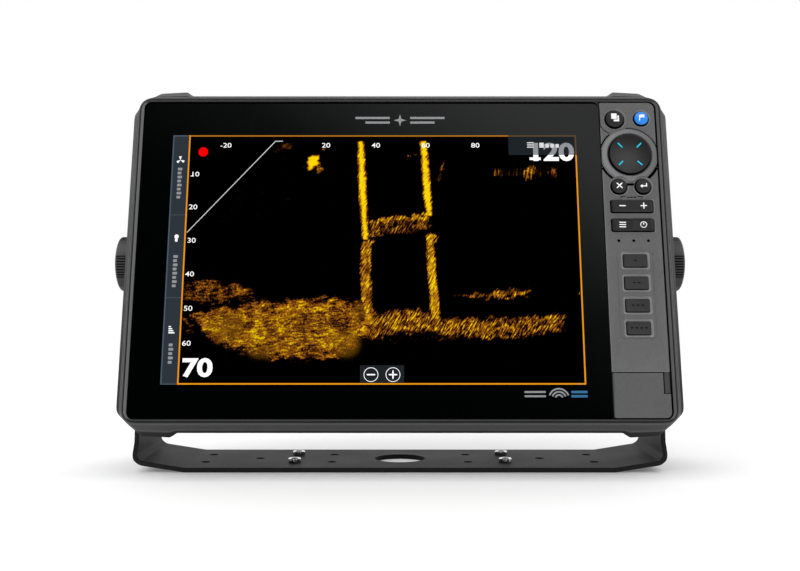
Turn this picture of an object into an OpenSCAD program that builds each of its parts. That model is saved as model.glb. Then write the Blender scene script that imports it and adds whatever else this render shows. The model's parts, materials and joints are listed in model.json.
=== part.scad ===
// Chartplotter display on a tilting yoke bracket.
// Row frame: +Z up, the screen faces -Y, and the origin is the middle of the bracket's underside.
// Everything in the display is drawn flat in its own frame (x right, y up the screen, z out of the
// glass) and on_display() leans it back and sets it on the pivot.

/* [Display] */
// Lean of the screen from upright, in degrees
rest_tilt = 14.3; // [5:0.1:25]
// Width of the glass and key panel together
face_w = 332.8; // [330:0.1:336]
// Height of the glass and key panel
face_h = 207.4; // [206:0.1:210]
// Width of the lit picture, a 12.1 inch panel in the 16:10 shape
picture_w = 260.6; // [255:0.1:262]
// Height of the lit picture
picture_h = 162.9; // [158:0.1:165]
// Middle of the lit picture, left of the middle of the face
picture_x = -16.4; // [-17:0.1:-15]
// Edge between the glass and the key panel
panel_x = 129.8; // [129.4:0.1:130]
// Thickness of the cover glass
glass_t = 2; // [1.5:0.1:2]
// Depth of the whole display behind the glass, at its flat back
body_depth = 64; // [62:1:66]

/* [Bracket] */
// Thickness of the bracket plate
plate_t = 3; // [2.5:0.1:3]
// Depth of the bracket plate from front to back
plate_d = 78; // [74:1:80]
// Inside distance between the two arms
arm_gap = 332.8; // [332.8:0.1:334]
// Height of the pivot over the ground
pivot_h = 132.3; // [131.5:0.1:140]
// Rise of the bracket's outer ends, in degrees
end_rise = 9; // [6:1:10]
// Radius of the cable hole in the plate
cable_hole_r = 16.7; // [12:0.1:18]
// Radius of the fixing holes
fixing_r = 3; // [2:0.1:3]

/* [Knobs] */
// Radius of a clamping knob
knob_r = 18; // [16:0.5:19]
// Radius of the knob's threaded stud (M8)
stud_r = 4; // [3.5:0.1:4]

/* [Keys] */
// How far a key can be pushed
key_travel = 0.8; // [0.4:0.1:0.8]
// Clearance round a key in its hole
key_gap = 0.3; // [0.2:0.05:0.35]
// Radius of the round cursor pad
pad_r = 13.5; // [12:0.1:13.6]
// Spacing of the four quick keys
quick_pitch = 14.47; // [14:0.01:14.6]

/* [Hidden] */
$fn = 64;
hull_fn = 32;
touch = 0.05;

// Where things lie on the face, in the display's own frame
pages_at = [139.5, 91.7];
waypoint_at = [156.7, 92];
pad_at = [147.8, 66.7];
exit_at = [140.2, 45.6];
enter_at = [155.6, 45.6];
zoom_at = [147.8, 32.2];
menu_at = [147.8, 19.75];
lens_at = [for (x = [138.3, 147.7, 157]) [x, 9.3]];
quick_at = [for (i = [0:3]) [148, -3.75 - i * quick_pitch]];
pages_r = 5.9;
waypoint_r = 4.7;
small_key_r = 5;
rocker_size = [27, 8.4];
rocker_z = -1.2;
quick_size = [15, 8.4];
lens_r = 0.75;
round_keys = [[pages_at, pages_r], [waypoint_at, waypoint_r], [exit_at, small_key_r], [enter_at, small_key_r]];

// The picture and the LCD behind it
picture_y = -1;
lcd_edge = 4;
lcd_x0 = picture_x - picture_w / 2 - lcd_edge;
lcd_x1 = picture_x + picture_w / 2 + lcd_edge;
lcd_y0 = picture_y - picture_h / 2 - lcd_edge;
lcd_y1 = picture_y + picture_h / 2 + lcd_edge;

// Levels, all measured along z from the front of the glass
ledge_top = -2.4;
ledge_bottom = -4.4;
frame_front = 0.3;
frame_back = -12;
seal_t = 0.8;
housing_front = frame_back - seal_t;
housing_step = -17;
housing_bevel = -48;
housing_back = -body_depth;
wall = 2.6;
inner_back = housing_back + wall;
bezel_back = -9.4;

// Half sizes of the nested outlines
face_r = 4.5;
frame_edge = 2;
frame_hx = face_w / 2 + frame_edge;
frame_hy = face_h / 2 + 1.3;
frame_r = 6.7;
groove = 0.6;
groove_floor = -4;
tub_hx = 163.2;
tub_hy = 101;
back_hx = 148;
back_hy = 84;
tub_r = 7;

// The display's pivot, in its own frame
pivot_y = 5.1;
pivot_z = -40.2;
boss_r = 16.5;
boss_face = tub_hx + 1.4;
insert_r = 6;
insert_len = 12;
disc_r = 15.5;
arm_in = arm_gap / 2;
arm_out = arm_in + plate_t;
washer_t = 1;
knob_in = arm_out + washer_t;
knob_rim = 184.8;
knob_tip = 188.4;
dome_r = (knob_r * knob_r + pow(knob_tip - knob_rim, 2)) / (2 * (knob_tip - knob_rim));

// The card bay under the keys
door_y0 = -102.9;
door_y1 = -75.2;
door_x1 = 165.3;
door_t = 2;
hinge_x = 132.2;
hinge_z = -door_t;
hinge_pin_r = 0.7;
card_slots = [142, 151];
notch_x = 161.2;
notch_y = -88.2;
fascia_y0 = -74.8;
fascia_x0 = panel_x + 0.3;
fascia_x1 = 165.5;
fascia_t = -ledge_top;
keys_window = [131.6, -70, 163.6, 101.5];
bay_window = [134.6, -97.6, 160.4, -77.2];
ring_in = 14.5;
ring_out = 17;
ring_h = 0.9;
pad_hole_r = 13.9;
pad_pivot_z = -1.5;

// Sockets on the back
socket_y = -58;
sonar_x = [-104, -72];
network_x = [-40, -8];
power_x = 24;
socket_r = 8.5;
socket_bore_r = 6.5;
socket_neck_r = 7.6;
board_face = -56.4;
socket_end = -78;
screws_at = [for (x = [-118, 0, 118], y = [-75, 75]) [x, y]];

// ---------- shared shapes ----------

// Leans the display back and hangs it on the pivot
module on_display() {
    translate([0, 0, pivot_h])
        rotate([90 - rest_tilt, 0, 0])
            translate([0, -pivot_y, -pivot_z])
                children();
}

// A rectangle with round corners, from two opposite corners
module round_rect(x0, y0, x1, y1, r) {
    translate([x0 + r, y0]) square([x1 - x0 - 2 * r, y1 - y0]);
    translate([x0, y0 + r]) square([x1 - x0, y1 - y0 - 2 * r]);
    for (x = [x0 + r, x1 - r], y = [y0 + r, y1 - r])
        translate([x, y]) circle(r);
}

// The same, centred on the face
module centred_rect(hx, hy, r) {
    round_rect(-hx, -hy, hx, hy, r);
}

// A plate of the child outline between two levels
module level(z0, z1) {
    translate([0, 0, z0]) linear_extrude(z1 - z0) children();
}

module block(x0, y0, z0, x1, y1, z1) {
    translate([x0, y0, z0]) cube([x1 - x0, y1 - y0, z1 - z0]);
}

// A cylinder from z0 to z1 at a place on the face
module post(at, r, z0, z1) {
    translate([at[0], at[1], z0]) cylinder(r = r, h = z1 - z0);
}

// A ring from z0 to z1
module tube(at, r_out, r_in, z0, z1) {
    difference() {
        post(at, r_out, z0, z1);
        post(at, r_in, z0 - 1, z1 + 1);
    }
}

// A solid between two centred outlines, used for the housing's sloped faces
module taper(z0, hx0, hy0, z1, hx1, hy1, r) {
    skin = 0.01;
    hull() {
        level(z0, z0 + skin) centred_rect(hx0, hy0, r, $fn = hull_fn);
        level(z1 - skin, z1) centred_rect(hx1, hy1, r, $fn = hull_fn);
    }
}

// Turns a shape drawn round z to stand round x, on the right (side 1) or left (side -1)
module sideways(side) {
    mirror([side < 0 ? 1 : 0, 0, 0]) rotate([0, 90, 0]) children();
}

// ---------- bracket ----------

bend_x = 136;
bend_in = 5;
hinge_disc_r = knob_r;

// Middle line of half the bracket's section: flat, a gentle rise, then a round bend into the arm
function rise_at(x) = (x - bend_x) * tan(end_rise);
bend_mid = bend_in + plate_t / 2;
bend_cx = arm_in + plate_t / 2 - bend_mid;
bend_start = bend_cx + bend_mid * sin(end_rise);
bend_cz = plate_t / 2 + rise_at(bend_start) + bend_mid * cos(end_rise);
bend_steps = 8;
function bend_point(i, r) =
    let (a = -90 + end_rise + (90 - end_rise) * i / bend_steps)
    [bend_cx + r * cos(a), bend_cz + r * sin(a)];

module bracket_section() {
    top = pivot_h + hinge_disc_r + 1;
    right = concat(
        [[bend_x, 0]],
        [for (i = [0:bend_steps]) bend_point(i, bend_in + plate_t)],
        [[arm_out, top], [arm_in, top]],
        [for (i = [bend_steps:-1:0]) bend_point(i, bend_in)],
        [[bend_x, plate_t]]
    );
    polygon(concat(right, [for (i = [len(right) - 1:-1:0]) [-right[i][0], right[i][1]]]));
}

// Side view of the bracket: full depth at the plate, tapering up to the round ends of the arms
module bracket_side() {
    half = plate_d / 2;
    polygon([
        [-half, -1], [half, -1], [half, 8], [31.5, 18], [16.5, pivot_h - 8],
        [-16.5, pivot_h - 8], [-31.5, 18], [-half, 8]
    ]);
    translate([0, pivot_h]) circle(hinge_disc_r);
}

outer_holes = [for (x = [-126.6, 126.6], y = [-15.5, 15.5]) [x, y]];
screw_holes = [for (x = [-68.7, 68.7], y = [-15.5, 15.5]) [x, y]];
inner_holes = [for (x = [-44.4, 44.4], y = [-15.5, 15.5]) [x, y]];
end_holes = [for (x = [-92.9, 92.9]) [x, 0]];
screw_r = 2.5;

module gimbal_bracket() {
    color("#3a3a3c")
    difference() {
        intersection() {
            rotate([90, 0, 0]) linear_extrude(plate_d, center = true) bracket_section();
            translate([-arm_out - 1, 0, 0])
                rotate([90, 0, 90]) linear_extrude(2 * arm_out + 2) bracket_side();
        }
        for (at = concat(outer_holes, inner_holes, end_holes))
            post(at, fixing_r, -1, plate_t + 5);
        for (at = screw_holes)
            post(at, screw_r, -1, plate_t + 1);
        post([0, 0], cable_hole_r, -1, plate_t + 1);
        translate([0, 0, pivot_h]) rotate([0, 90, 0])
            cylinder(r = stud_r + 0.4, h = 2 * arm_out + 2, center = true);
    }
}

// Hex-headed screws in the four middle holes, flush with the underside
module base_hex_screws() {
    head_af = 8;
    head_h = 2.6;
    color("#d8d8dc")
    for (at = screw_holes) {
        difference() {
            union() {
                post(at, screw_r, 0.2, plate_t);
                translate([at[0], at[1], plate_t])
                    cylinder(r = head_af / 2 / cos(30), h = head_h, $fn = 6);
            }
            post(at, 1, plate_t + head_h - 1.2, plate_t + head_h + 1);
        }
    }
}

// ---------- front of the display ----------

// One quarter of a bezel outline, from the middle of the right side to the middle of the top
function lip_quarter() = concat(
    [[169.8, 0], [169.8, 96]],
    [for (a = [0:22.5:90]) [161.8 + 8 * cos(a), 98.5 + 8 * sin(a)]],
    [[140.4, 106.5], [136.8, 106.5], [0, 106.5]]
);
function crease_quarter() = [
    [172, 0], [172, 96], [171.9, 98.4], [170.9, 101.6], [167.4, 105.2], [163.6, 108.4],
    [160, 110], [140.4, 110.45], [136.6, 109.6], [0, 109.6]
];
function edge_quarter() = [
    [174.6, 0], [174.6, 95.4], [174.2, 98], [172.6, 100.4], [168, 104.5], [163.3, 108.7],
    [158.6, 112.8], [140.4, 113.9], [136.8, 111.1], [0, 111.1]
];
function skirt_quarter() = [for (p = edge_quarter()) [p[0] - 0.8, max(0, p[1] - 0.8)]];

// The whole outline from a quarter, anticlockwise
function whole(q) =
    let (n = len(q))
    concat(
        [for (i = [0:n - 1]) q[i]],
        [for (i = [n - 2:-1:0]) [-q[i][0], q[i][1]]],
        [for (i = [1:n - 1]) [-q[i][0], -q[i][1]]],
        [for (i = [n - 2:-1:1]) [q[i][0], -q[i][1]]]
    );
function lifted(outline, z) = [for (p = outline) [p[0], p[1], z]];

// A closed solid through outlines of the same length, listed from the front backwards
module loft(rings) {
    n = len(rings[0]);
    last = len(rings) - 1;
    front_mid = n * len(rings);
    points = concat(
        [for (ring = rings) for (p = ring) p],
        [[0, 0, rings[0][0][2]], [0, 0, rings[last][0][2]]]
    );
    faces = concat(
        [for (k = [0:last - 1]) for (i = [0:n - 1])
            let (j = (i + 1) % n, a = k * n, b = a + n) [a + i, a + j, b + j]],
        [for (k = [0:last - 1]) for (i = [0:n - 1])
            let (j = (i + 1) % n, a = k * n, b = a + n) [a + i, b + j, b + i]],
        [for (i = [0:n - 1]) [front_mid, (i + 1) % n, i]],
        [for (i = [0:n - 1]) [front_mid + 1, last * n + i, last * n + (i + 1) % n]]
    );
    polyhedron(points = points, faces = faces);
}

// Snap-on outer bezel: a lip, a flare, and raised pads near the corners
module front_bezel() {
    color("#4a4a4c") on_display()
    difference() {
        loft([
            lifted(whole(lip_quarter()), 0),
            lifted(whole(crease_quarter()), -4.7),
            lifted(whole(edge_quarter()), -7.6),
            lifted(whole(skirt_quarter()), bezel_back)
        ]);
        level(groove_floor, 1)
            centred_rect(frame_hx + groove, frame_hy + groove, frame_r + groove);
        level(bezel_back - 1, groove_floor + 1)
            centred_rect(frame_hx + touch, frame_hy + touch, frame_r + touch);
    }
}

// Inner frame: the thin ring round the face, a ledge under it, and the hinge blocks of the door
module front_frame() {
    color("#505052") on_display() {
        difference() {
            level(frame_back, frame_front) centred_rect(frame_hx, frame_hy, frame_r);
            level(ledge_top, frame_front + 1)
                centred_rect(face_w / 2 + 0.15, face_h / 2 + 0.15, face_r + 0.15);
            level(frame_back - 1, ledge_bottom) centred_rect(frame_hx - 3, frame_hy - 3, frame_r - 3);
            block(lcd_x0 - 0.3, lcd_y0 - 0.3, -6, lcd_x1 + 0.3, lcd_y1 + 0.3, 0);
            level(-6, 0)
                round_rect(keys_window[0], keys_window[1], keys_window[2], keys_window[3], 2);
            level(-6, 0)
                round_rect(bay_window[0], bay_window[1], bay_window[2], bay_window[3], 1);
            block(129.9, door_y0 - 0.2, -6, bay_window[0] + 1, door_y1 + 0.2, 0);
        }
        for (y = [door_y0 - 0.2, door_y1 - 1.5])
            hinge_block(y);
    }
}

// A small block that carries one end of the door's hinge pin
module hinge_block(y) {
    length = 1.7;
    difference() {
        union() {
            translate([hinge_x, y, hinge_z]) rotate([-90, 0, 0]) cylinder(r = 1.05, h = length);
            block(hinge_x + 0.45, y, ledge_bottom, hinge_x + 1.1, y + length, hinge_z);
            block(129.9, y, ledge_bottom, bay_window[0] + 1, y + length, ledge_bottom + 0.3);
        }
        translate([hinge_x, y - 1, hinge_z]) rotate([-90, 0, 0]) cylinder(r = hinge_pin_r, h = length + 2);
    }
}

module cover_glass() {
    color("#0a0b0c") on_display()
    difference() {
        level(-glass_t, 0) round_rect(-face_w / 2, -face_h / 2, face_w / 2, face_h / 2, face_r);
        block(panel_x - 0.3, -face_h, -glass_t - 1, face_w, face_h, 1);
    }
}

// Foam frame that the glass is bonded to
module screen_gasket() {
    edge = 0.6;
    color("#1c1c1e") on_display()
    difference() {
        level(ledge_top, -glass_t)
            round_rect(-face_w / 2 + edge, -face_h / 2 + edge, panel_x - 1.4, face_h / 2 - edge, face_r - edge);
        block(lcd_x0 - 0.8, lcd_y0 - 0.8, -4, lcd_x1 + 0.8, lcd_y1 + 0.8, 0);
    }
}

module lcd_cell() {
    color("#15181c") on_display()
        block(lcd_x0, lcd_y0, -4.3, lcd_x1, lcd_y1, -glass_t - touch);
}

// Metal-backed light box behind the cell, with flanges that hook under the ledge
module backlight_unit() {
    flange = 5;
    color("#c9cbce") on_display() {
        block(lcd_x0 - flange, lcd_y0 - flange, -10, lcd_x1 + flange, lcd_y1 + flange, -4.5);
        block(lcd_x0 + 1, lcd_y0 + 1, -4.6, lcd_x1 - 1, lcd_y1 - 1, -4.3);
    }
}

// Cast plate that stiffens the front and carries the boards
module chassis_plate() {
    color("#9fa2a6") on_display()
    difference() {
        union() {
            level(-11.8, -10.1) round_rect(-158, -97, 124, 97, 4);
            for (x = [-150, -60, 40], y = [-90, 90])
                post([x, y], 3, -11.9, -10.1);
            for (at = screws_at)
                post(at, 4, inner_back, -10.1);
        }
        for (at = screws_at)
            post(at, 1.5, inner_back - 1, -30);
        for (x = [-120, -80, 76, 96])
            level(-13, -9) round_rect(x, -40, x + 12, 40, 3);
        block(-60, -84, -13, -20, -78, -9);
    }
}

// ---------- key panel ----------

module key_holes(extra) {
    for (k = round_keys)
        translate(k[0]) circle(k[1] + extra);
    for (at = [zoom_at, menu_at])
        translate(at) key_outline(rocker_size, extra);
    for (at = quick_at)
        translate(at) key_outline(quick_size, extra);
}

module key_outline(size, extra) {
    round_rect(-size[0] / 2 - extra, -size[1] / 2 - extra, size[0] / 2 + extra, size[1] / 2 + extra, 0.9 + extra);
}

// The panel round the keys, with the raised ring of the cursor pad and the door's finger notch
module keypad_fascia() {
    color("#666668") on_display()
    difference() {
        union() {
            intersection() {
                level(ledge_top, 0) round_rect(-face_w / 2, -face_h / 2, fascia_x1, face_h / 2 - 0.4, face_r);
                block(fascia_x0, fascia_y0, -5, face_w, face_h, 1);
            }
            post(pad_at, ring_out, -0.5, ring_h);
            block(notch_x + 0.7, notch_y + 0.4, ledge_top, fascia_x1, fascia_y0 + 0.5, -0.9);
        }
        level(-5, 2) key_holes(key_gap);
        for (at = [zoom_at, menu_at])
            translate(at) rocker_pins(0.56, 5.5);
        post(pad_at, ring_in, 0, ring_h + 1);
        post(pad_at, pad_hole_r, -5, 2);
        for (at = lens_at)
            post(at, lens_r, -5, 2);
    }
}

module status_lenses() {
    color("#0c0c0e") on_display()
    for (at = lens_at)
        post(at, lens_r, -2.2, -0.1);
}

// Silicone sheet under the keys
module keypad_mat() {
    color("#2a2a2c") on_display()
    difference() {
        level(-7.6, -6.3) round_rect(132.2, -56, 163, 100.4, 2);
        post(pad_at, 4, -9, -5);
    }
}

module keypad_board() {
    color("#1f5a35") on_display()
    difference() {
        level(-10.6, -9.2) round_rect(132, -69, 163.4, 100.6, 1);
        for (y = [-64, 10, 98])
            post([134.4, y], 1.3, -12, -8);
    }
}

// Dome switches on the board: one under each key and two under each rocker
module keypad_switches() {
    places = concat(
        [for (k = round_keys) k[0]], quick_at,
        [for (at = [zoom_at, menu_at], dx = [-8, 8]) at + [dx, 0]]
    );
    color("#b9bcc0") on_display()
    for (at = places)
        post(at, 2.4, -9.2, -7.8);
}

// Fixed post of the cursor switch, standing on the key board
module nav_post() {
    color("#b0b2b6") on_display()
    difference() {
        union() {
            block(pad_at[0] - 3.4, pad_at[1] - 3.4, -9.2, pad_at[0] + 3.4, pad_at[1] + 3.4, -7.7);
            post(pad_at, 1.8, -7.8, -0.8);
        }
        pad_pins(0, 3, 0.54, 0);
    }
}

// Gimbal ring between the post and the pad
module nav_gimbal_ring() {
    color("#8c8f94") on_display() {
        tube(pad_at, 6, 2.4, -2.2, -0.8);
        pad_pins(1, 2.6, 0.5, 0);
        pad_pins(5.8, 9, 0.5, 90);
    }
}

// Two pins across the pad's middle, at a turn from the x direction
module pad_pins(near, far, r, turn) {
    translate([pad_at[0], pad_at[1], pad_pivot_z]) rotate(turn)
        for (side = [-1, 1])
            sideways(side) translate([0, 0, near]) cylinder(r = r, h = far - near);
}

module cursor_pad() {
    rim_z = 2.9;
    dish = 1.2;
    dish_sphere_r = (pow(pad_r - 1, 2) + dish * dish) / (2 * dish);
    color("#343436") on_display()
    difference() {
        union() {
            post(pad_at, pad_r, -4.4, rim_z);
            post(pad_at, pad_r + 0.9, -4.7, -3.7);
        }
        translate([pad_at[0], pad_at[1], rim_z - dish + dish_sphere_r]) sphere(r = dish_sphere_r);
        post(pad_at, 8, -6, 0.2);
        pad_pins(7, 9.2, 0.54, 90);
    }
}

// A round key: cap, retaining flange and plunger
module round_key(at, r, proud) {
    post(at, r, -4, proud);
    post(at, r + 0.8, -4, -2.7);
    post(at, r - 2.6, -5.2, -4);
}

module pages_button() {
    color("#303032") on_display() round_key(pages_at, pages_r, 2.2);
}

module waypoint_button() {
    color("#2e8cff") on_display() round_key(waypoint_at, waypoint_r, 1.9);
}

module exit_button() {
    color("#303032") on_display() round_key(exit_at, small_key_r, 1.9);
}

module enter_button() {
    color("#303032") on_display() round_key(enter_at, small_key_r, 1.9);
}

// A rocking key: the cap and two feet over its switches
module rocker(at) {
    translate([at[0], at[1], 0]) {
        level(-3.2, 1.6) key_outline(rocker_size, 0);
        for (x = [-8, 8])
            post([x, 0], 1.6, -5.2, -3.1);
        rocker_pins(0.5, 5.2);
    }
}

module rocker_pins(r, reach) {
    translate([0, -reach, rocker_z]) rotate([-90, 0, 0]) cylinder(r = r, h = 2 * reach);
}

module zoom_rocker() {
    color("#303032") on_display() rocker(zoom_at);
}

module menu_power_rocker() {
    color("#303032") on_display() rocker(menu_at);
}

module quick_key(i) {
    at = quick_at[i];
    color("#38383a") on_display()
    translate([at[0], at[1], 0]) {
        level(-4, 1) key_outline(quick_size, 0);
        level(-4, -2.7) key_outline(quick_size, 0.8);
        post([0, 0], 2, -5.2, -4);
    }
}

// ---------- card bay ----------

// The door turns on a pin at its left edge, where it is rounded round the pin
module card_door() {
    knuckle_y0 = door_y0 + 1.8;
    knuckle_y1 = door_y1 - 1.8;
    color("#646466") on_display()
    difference() {
        union() {
            difference() {
                level(-door_t, 0) round_rect(hinge_x, door_y0, door_x1, door_y1, 3.4);
                block(hinge_x - 1, door_y0 - 1, -door_t - 1, hinge_x + 4, door_y1 + 1, 1);
            }
            block(hinge_x, door_y0, -door_t, hinge_x + 4.2, door_y1, 0);
            translate([hinge_x, door_y0, hinge_z]) rotate([-90, 0, 0])
                cylinder(r = door_t, h = door_y1 - door_y0);
        }
        for (y = [door_y0 - 1, knuckle_y1])
            translate([hinge_x, y, hinge_z]) rotate([-90, 0, 0]) cylinder(r = 1.15, h = 2.8);
        for (y = [door_y0 - 1, knuckle_y1])
            block(hinge_x - 3, y, hinge_z - 3, hinge_x + 1.4, y + 2.8, hinge_z);
        translate([hinge_x, door_y0 - 1, hinge_z]) rotate([-90, 0, 0])
            cylinder(r = hinge_pin_r + 0.04, h = 40);
        block(notch_x, notch_y, -5, door_x1 + 1, door_y1 + 1, 1);
    }
}

module card_door_pin() {
    color("#c8c8cc") on_display()
    translate([hinge_x, door_y0 + 0.1, hinge_z]) rotate([-90, 0, 0])
        cylinder(r = hinge_pin_r, h = door_y1 - door_y0 - 0.2);
}

// Rubber frame on the ledge that the closed door presses on
module card_door_seal() {
    color("#1a1a1c") on_display()
    difference() {
        level(ledge_top, -door_t - touch)
            round_rect(bay_window[0] + 1.4, -102.3, 164.6, -75.8, 1.6);
        level(-4, 0) round_rect(bay_window[0] + 1.4 - 9, bay_window[1], bay_window[2], bay_window[3], 1);
        block(notch_x - 0.2, notch_y - 0.2, -4, 170, -70, 0);
    }
}

// Plastic tray behind the door
module card_bay() {
    color("#2c2c2e") on_display()
    difference() {
        level(-24, ledge_bottom) round_rect(135.9, -98.1, 160.2, -76.6, 4.5);
        level(-22.8, -3) round_rect(137, -97, 159.1, -77.7, 3.4);
        for (x = card_slots)
            block(x, -95.2, -30, x + 2.2, -79.5, -20);
    }
}

// Reader module behind the tray, with two card slots
module card_reader() {
    color("#a9abb0") on_display()
    difference() {
        block(138, -97.4, -40, 159, -77.4, -24);
        for (x = card_slots)
            block(x + 0.4, -94.4, -38, x + 1.6, -80.3, -20);
    }
}

// ---------- housing ----------

module housing_gasket() {
    color("#161618") on_display()
    difference() {
        level(housing_front, frame_back) centred_rect(frame_hx - 0.4, frame_hy - 0.4, frame_r - 0.4);
        level(housing_front - 1, frame_back + 1)
            centred_rect(frame_hx - 2.8, frame_hy - 2.8, frame_r - 2.8);
    }
}

module pivot_place(side) {
    translate([0, pivot_y, pivot_z]) sideways(side) children();
}

// Rear tub: stepped in behind the bezel, square-sided, then bevelled to a flat back
module rear_housing() {
    color("#2b2b2d") on_display()
    difference() {
        union() {
            difference() {
                union() {
                    taper(housing_step, tub_hx, tub_hy, housing_front, frame_hx - 0.4, frame_hy - 0.4, tub_r);
                    level(housing_bevel, housing_step) centred_rect(tub_hx, tub_hy, tub_r);
                    taper(housing_back, back_hx, back_hy, housing_bevel, tub_hx, tub_hy, tub_r);
                }
                level(housing_bevel, housing_front + 1)
                    centred_rect(tub_hx - wall, tub_hy - wall, tub_r - wall);
                taper(inner_back, back_hx - wall, back_hy - wall, housing_bevel, tub_hx - wall, tub_hy - wall, tub_r - wall);
            }
            for (side = [-1, 1])
                pivot_place(side) {
                    translate([0, 0, tub_hx - wall]) cylinder(r = boss_r, h = boss_face - tub_hx + wall);
                    translate([0, 0, boss_face - insert_len]) cylinder(r = 9.5, h = insert_len - 0.5);
                }
        }
        for (side = [-1, 1])
            pivot_place(side)
                translate([0, 0, boss_face - insert_len - 1]) cylinder(r = insert_r, h = insert_len + 2);
        for (x = concat(sonar_x, network_x, [power_x]))
            post([x, socket_y], socket_neck_r + 0.1, housing_back - 1, inner_back + 1);
        post([100, -58], 4, housing_back - 1, inner_back + 1);
        for (at = screws_at) {
            post(at, 1.6, housing_back - 1, inner_back + 1);
            post(at, 3.4, housing_back - 1, housing_back + 1.4);
        }
    }
}

// Finned aluminium plate on the back
module heat_sink() {
    color("#3c3d40") on_display() {
        block(-112, -28, housing_back - 2.5, 112, 66, housing_back);
        for (i = [0:24])
            block(-110 + i * 9.1, -26, housing_back - 12, -108.2 + i * 9.1, 64, housing_back - 2.4);
    }
}

module rear_screws() {
    color("#c4c4c8") on_display()
    for (at = screws_at)
        difference() {
            union() {
                post(at, 3, housing_back, housing_back + 1.4);
                post(at, 1.5, housing_back + 1.3, inner_back + 10);
            }
            translate([at[0], at[1], housing_back - 1]) cylinder(r = 1.3, h = 2, $fn = 6);
        }
}

module vent_plug() {
    color("#1b1b1d") on_display() {
        post([100, -58], 6.5, housing_back - 2.5, housing_back);
        post([100, -58], 3.95, housing_back - 0.1, inner_back + 2);
    }
}

module rating_plate() {
    color("#8a8c90") on_display()
        level(housing_back - 0.4, housing_back) round_rect(56, -74, 88, -44, 2);
}

// A round socket: flange, shell, and a core with contact holes set back inside the mouth
module round_socket(x, contacts) {
    depth = 8;
    core = socket_end + depth;
    translate([x, socket_y, 0])
    difference() {
        rotate_extrude()
            polygon([
                [0, board_face], [socket_neck_r, board_face], [socket_neck_r, housing_back],
                [11, housing_back], [11, housing_back - 2.4], [socket_r, housing_back - 2.4],
                [socket_r, socket_end], [socket_bore_r, socket_end], [socket_bore_r, core], [0, core]
            ]);
        for (i = [1:contacts])
            rotate(360 * i / contacts + 20) translate([3.8, 0, core - 1]) cylinder(r = 0.6, h = 5);
    }
}

module power_socket() {
    color("#303033") on_display() round_socket(power_x, 4);
}

module sonar_sockets() {
    color("#303033") on_display()
    for (x = sonar_x)
        round_socket(x, 9);
}

module network_sockets() {
    color("#303033") on_display()
    for (x = network_x)
        round_socket(x, 5);
}

module connector_board() {
    color("#1f5a35") on_display() {
        level(-56.4, -54.8) round_rect(-118, -69.5, 38, -46, 2);
        block(-110, -56, -54.8, -90, -48, -50);
        block(-62, -56, -54.8, -42, -48, -49);
    }
}

// ---------- electronics ----------

standoff_at = [for (x = [-104, -20, 64], y = [-54, 64]) [x, y]];

module board_standoffs() {
    color("#caa24a") on_display()
    for (at = standoff_at)
        translate([at[0], at[1], -20]) cylinder(r = 2.9, h = 8.2, $fn = 6);
}

module main_board() {
    chips = [[-96, -40, 14, 14], [-70, -44, 18, 10], [20, -40, 16, 16], [46, 6, 12, 20], [-90, 20, 22, 14]];
    color("#1f5a35") on_display() {
        difference() {
            level(-21.6, -20) round_rect(-110, -60, 70, 70, 2);
            for (at = standoff_at)
                post(at, 1.6, -23, -19);
        }
        for (c = chips)
            block(c[0], c[1], -23, c[0] + c[2], c[1] + c[3], -21.6);
    }
}

module shield_can() {
    color("#c5c7ca") on_display()
    difference() {
        block(-40, 0, -26, 10, 46, -21.6);
        block(-39.5, 0.5, -25.5, 9.5, 45.5, -21);
    }
}

module thermal_pad() {
    color("#7f8fa6") on_display()
        block(-35, 5, -27.5, 5, 41, -26);
}

module heat_spreader() {
    color("#b4b6ba") on_display() {
        block(-36, 4, -31.5, 6, 42, -27.5);
        block(-26, 10, -57.5, -4, 36, -31.5);
        block(-46, 0, inner_back, 16, 46, -57.5);
    }
}

// Flat cables, drawn as folded strips
module lcd_ribbon_cable() {
    color("#d8b26a") on_display()
    translate([-55, 0, 0]) rotate([90, 0, 90]) linear_extrude(24)
        polygon([[-80.4, -10], [-80.1, -10], [-80.1, -22], [-56, -22], [-56, -22.3], [-80.4, -22.3]]);
}

module keypad_ribbon_cable() {
    color("#d8b26a") on_display()
    translate([0, 20, 0]) rotate([-90, 0, 0]) linear_extrude(14)
        polygon([[140, 10.6], [140.3, 10.6], [140.3, 24.3], [60, 24.3], [60, 24], [140, 24]]);
}

module gps_antenna() {
    color("#cdbf9c") on_display() {
        block(-82, 90, -50, -54, 91.6, -22);
        block(-80.5, 91.6, -48.5, -55.5, 95.6, -23.5);
    }
}

module backup_battery() {
    color("#d0d2d4") on_display()
        post([56, -40], 10, -24.8, -21.6);
}

// ---------- pivots and knobs ----------

module knob_inserts() {
    color("#c49a3a") on_display()
    for (side = [-1, 1])
        pivot_place(side) translate([0, 0, boss_face - insert_len])
            difference() {
                cylinder(r = insert_r, h = insert_len);
                translate([0, 0, -1]) cylinder(r = stud_r + 0.05, h = insert_len + 2);
            }
}

// Rubber discs that the arms are clamped against
module friction_discs() {
    color("#1d1d1f") on_display()
    for (side = [-1, 1])
        pivot_place(side) translate([0, 0, boss_face])
            difference() {
                cylinder(r = disc_r, h = arm_in - boss_face - touch);
                translate([0, 0, -1]) cylinder(r = stud_r + 0.4, h = 9);
            }
}

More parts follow.
